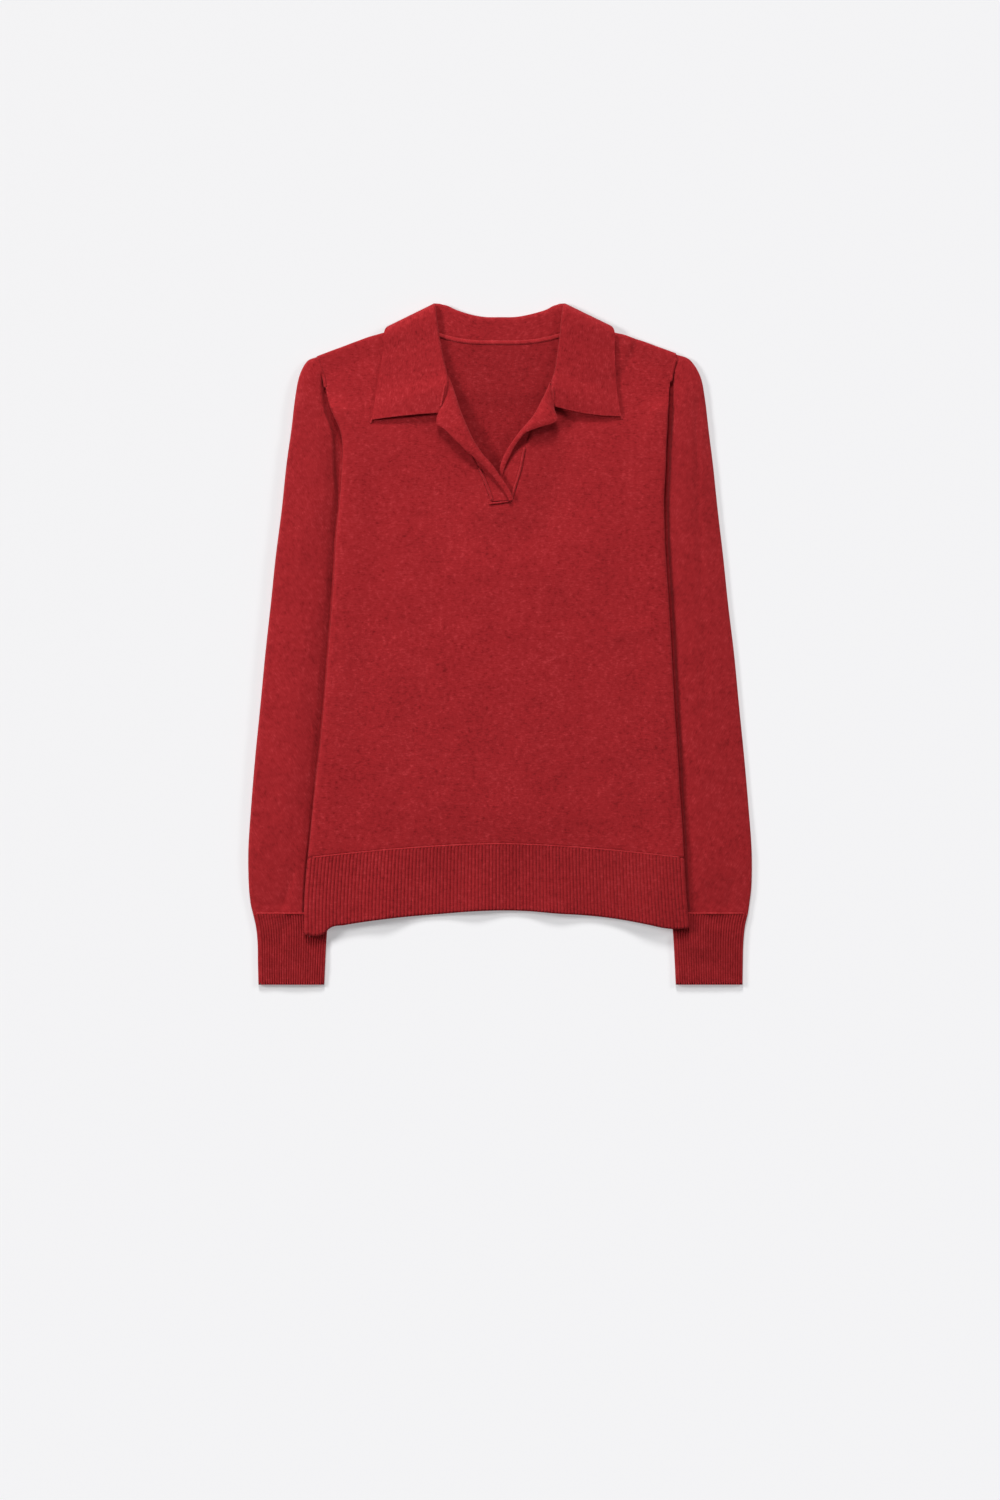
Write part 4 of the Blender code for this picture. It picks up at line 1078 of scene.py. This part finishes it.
# %% Sections of the bands
BAND_COLUMNS = "section s_x s_y r_x r_y e_x e_y lift turned lap"
PLACKET_LEFT = table(BAND_COLUMNS, (
    (0, -7.8, 142.3, 11.6, 143.4, 9.2, 142.3, 0.6, 1, 1),
    (1, -10.6, 151, 8.4, 152.2, 5.4, 150.6, 0.9, 1, 1),
    (2, -15.4, 163, 0.6, 164.6, -3.2, 162.4, 1.4, 1, 1),
    (3, -21, 176, -8.0, 177.5, -12, 172.6, 2.4, 1, 0.6),
    (4, -27.5, 188, -17.6, 188.5, -20, 180.6, 4.0, 1, 0.15),
    (5, -34.5, 202, -27.2, 203, -34.8, 193.6, 6.2, 1, 0),
    (6, -41.5, 216, -34.2, 218, -45, 203.6, 6.8, 1, 0),
    (7, -48.5, 231, -40.4, 232.5, -54.5, 213, 6.4, 1, 0),
    (8, -55.6, 244, -45.2, 247.5, -63.1, 220.8, 5.0, 1, 0),
    (9, -58.5, 249, -48.0, 256.5, -60, 235, 2.6, 1, 0),
    (10, -61, 254, -51.6, 266, -57, 250, 0.8, 1, 0),
))
PLACKET_RIGHT = table(BAND_COLUMNS, (
    (0, 11.3, 142.3, 4, 142.3, -3, 142.3, 0, 0, 1),
    (1, 13.3, 151, 5, 151, -3, 151, 0, 0, 1),
    (2, 17, 163, -1, 164, 1.0, 162.6, 0.3, 0.6, 1),
    (3, 20.8, 176, 1.8, 177.6, 4.4, 175.4, 0.8, 1, 0.8),
    (4, 23, 188, 6.4, 190, 9.6, 187.2, 1.4, 1, 0.5),
    (5, 26.2, 202, 12.8, 200.8, 15.4, 198, 2.8, 1, 0.2),
    (6, 32, 216, 21.4, 212.6, 24.4, 209.2, 5.6, 1, 0),
    (7, 41, 231, 33.5, 226.5, 36.5, 214.6, 8.0, 1, 0),
    (8, 50, 244, 41.5, 240, 56, 221.7, 8.4, 1, 0),
    (9, 54.5, 249.5, 46.2, 250.5, 54, 234, 4.0, 1, 0),
    (10, 59, 254, 50.4, 261, 54, 246, 1.4, 1, 0),
))
BAND_SHIFT = 1.15       # how far a band moves up or down to lie on or under the other one
ROLL_RISE = 4.0         # how high the lapel's roll would reach as its curve's control point
ROLL_WIDTH = 8.0        # of a turned strip whose roll is that high


def band_section(sections, at, lies):
    """A band from its seam over its roll to its free edge; lies is +1 on top, -1 below."""
    row = {name: float(along(sections, at, name)) for name in sections}
    turned = min(max(row["turned"], 0.0), 1.0)
    seam, roll = np.array((row["s_x"], row["s_y"])), np.array((row["r_x"], row["r_y"]))
    free = np.array((row["e_x"], row["e_y"]))
    seam_z = float(front_mid(*seam))
    free_z = float(front_mid(*free)) + (CLOTH + LAYER_GAP + row["lift"]) * turned
    free_z = free_z + lies * BAND_SHIFT * row["lap"]
    control = (8 * roll - seam - free) / 6
    flat_start, flat_end = line(seam, free, 0.15), line(seam, free, 0.7)
    near, far = line(flat_start, control, turned), line(flat_end, control, turned)
    near_z = seam_z + lies * BAND_SHIFT * row["lap"]
    rise = ROLL_RISE * turned * min(1.0, np.linalg.norm(roll - free) / ROLL_WIDTH)
    corners = ((*seam, seam_z), (*near, near_z), (*far, free_z + rise), (*free, free_z))
    t = np.linspace(0, 1, 23)[:, None]
    weights = ((1 - t) ** 3, 3 * t * (1 - t) ** 2, 3 * t * t * (1 - t), t ** 3)
    return sum(weight * np.array(corner) for weight, corner in zip(weights, corners))


def band_cloth(word, sections, lies):
    points = np.array([band_section(sections, at, lies) for at in np.linspace(0, 10, 121)])
    if lies < 0:
        points = points[:, ::-1]
    return finish_piece(f"placket_band_{word}", laid_grid(points), collar_knit,
                        f"placket_{word}", edge_bevel=0.45)


band_left = band_cloth("left", PLACKET_LEFT, 1)
band_right = band_cloth("right", PLACKET_RIGHT, -1)

# %% [markdown]
# ## Seams
#
# Where knitted pieces are linked, a thin ridge of chain stitches stands up and catches the
# light, and its knit is painted lighter as well, a painted highlight. A ridge is a half-round
# strip laid along a curve on the cloth. Its radius swells with every stitch, which makes it read
# as thread and not as piping.

# %% A linked seam along a curve
def seam_ridge(name, path, half_width, height, stitch=1.4, material=linking_painted_highlight, node=None):
    """A half-round ridge of stitches along points in mm, with its middle on the path."""
    path = np.array(path, float)
    steps = np.linalg.norm(np.diff(path, axis=0), axis=1)
    reach = np.concatenate(([0], np.cumsum(steps)))
    at = np.linspace(0, reach[-1], max(8, int(reach[-1] / stitch * 5)))
    middle = np.stack([np.interp(at, reach, path[:, k]) for k in range(3)], axis=1)
    forward = np.gradient(middle, axis=0)
    sideways = np.stack((-forward[:, 1], forward[:, 0]), axis=1)
    sideways /= np.linalg.norm(sideways, axis=1, keepdims=True)
    swell = 0.82 + 0.18 * np.abs(np.sin(math.pi * at / stitch))
    ends = ease(np.minimum(at, at[-1] - at), 0, 1.5)
    angles = np.linspace(math.pi, 0, 9)
    points = np.zeros((len(at), len(angles), 3))
    lean = 0.25 * np.sin(2 * math.pi * at / stitch)
    for j, angle in enumerate(angles):
        out = half_width * math.cos(angle) * swell * (0.3 + 0.7 * ends) + lean * math.sin(angle)
        points[:, j, :2] = middle[:, :2] + sideways * out[:, None]
        points[:, j, 2] = middle[:, 2] + height * math.sin(angle) * swell * ends
    return finish_piece(name, laid_grid(points), material, node, wall=0.25, side=-1.0)


def raised(route, mid, up=0.0):
    """Points of a route in mm, on top of the cloth whose wall's middle is given."""
    return [(x, y, float(mid(x, y)) + CLOTH / 2 + up) for x, y in route]


# %% Neck seam inside the collar
neck_line = [(x, float(along(BACK_NECK, abs(x), "y"))) for x in np.linspace(-65, 65, 70)]
seam_ridge("neck_linking", raised(neck_line, back_mid), 2.1, 1.0, stitch=1.7,
           node="back_neck_seam")

# %% Seams beside the bands
LEFT_BAND_SEEN = 3.0    # the section up to which the left band's seam shows
RIGHT_BAND_SEEN = 4.6
for word, sections, last in (("left", PLACKET_LEFT, LEFT_BAND_SEEN),
                             ("right", PLACKET_RIGHT, RIGHT_BAND_SEEN)):
    route = [[float(along(sections, at, name)) for name in ("s_x", "s_y")]
             for at in np.linspace(0.0, last, 30)]
    seam_ridge(f"band_seam_{word}", raised(route, front_mid, 0.1), 1.1, 1.1)

# %% Where the collar's ends are linked to the bands
def lying_on(piece, route, up=0.0):
    """Points of a route in mm, dropped on to the highest cloth of a piece."""
    form = bmesh.new()
    form.from_mesh(piece.data)
    cover = BVHTree.FromBMesh(form)
    form.free()
    path = []
    for x, y in route:
        hit = cover.ray_cast((x * MM, y * MM, 1.0), (0, 0, -1))[0]
        if hit is not None:
            path.append((x, y, hit.z / MM + CLOTH / 2 + up))
    return path


COLLAR_ENDS = {
    "left": ((-54.8, 259), (-56, 252), (-57.6, 244), (-59.6, 236), (-61.8, 229.6)),
    "right": ((52.6, 257), (53.4, 250), (54, 243), (55, 236.4)),
}
for word, route in COLLAR_ENDS.items():
    path = lying_on(collar, route, up=-0.2)
    seam_ridge(f"collar_end_{word}", path, 0.9, 0.9)

# %% Stitches where the ribbing begins
CUFF_SEAM_Y = CUFF_TOP - 0.2
RIB_STITCH = 3.5        # as long as a rib is wide

route = []
for column in np.linspace(-HEM_HALF + SIDE_ROLL, HEM_HALF - SIDE_ROLL, 160):
    y = float(hem_seam_y(column, HEM_HALF))
    route.append((column * (float(body_edge(column, y)) - CLOTH / 2) / HEM_HALF, y))
seam_ridge("hem_seam", raised(route, front_mid, -0.15), 0.8, 0.55, RIB_STITCH)
for word, side in SIDES.items():
    path = [(side * x, CUFF_SEAM_Y, CUFF_HEIGHT + 0.1) for x in np.linspace(178, 244, 50)]
    seam_ridge(f"cuff_seam_{word}", path, 0.8, 0.55, RIB_STITCH)

# %% Bar across the placket's foot
BAR_START, BAR_END = (-11.6, 139.4), (10.9, 142.2)
bar_length = BAR_END[0] - BAR_START[0]
route = [(x, line(BAR_START[1], BAR_END[1], (x - BAR_START[0]) / bar_length))
         for x in np.linspace(BAR_START[0], BAR_END[0], 24)]
seam_ridge("placket_foot_bar", raised(route, front_mid, -0.1), 1.0, 1.5,
           material=collar_knit)

# %% Armhole seams, seen where the sleeve leaves the shoulder
ARMHOLE_TOP, ARMHOLE_SEEN = 286.0, {"left": 256.0, "right": 262.0}
for word, side in SIDES.items():
    route = [(side * (float(body_edge(side, y)) - 0.4), y)
             for y in np.linspace(ARMHOLE_TOP, ARMHOLE_SEEN[word], 24)]
    seam_ridge(f"armhole_seam_{word}", raised(route, front_mid, -0.2), 1.5, 0.75,
               stitch=1.6, material=jersey)

# %% Loose thread ends at the collar's two points
THREAD_ENDS = {
    "left": ((-127.6, 224.6), (-128.9, 221.8), (-129.3, 219.6)),
    "right": ((120.6, 228.2), (121.9, 225.9), (122.8, 223.8)),
}
for word, route in THREAD_ENDS.items():
    path = raised(route, front_mid)
    seam_ridge(f"thread_end_{word}", path, 0.7, 1.0, stitch=0.9)
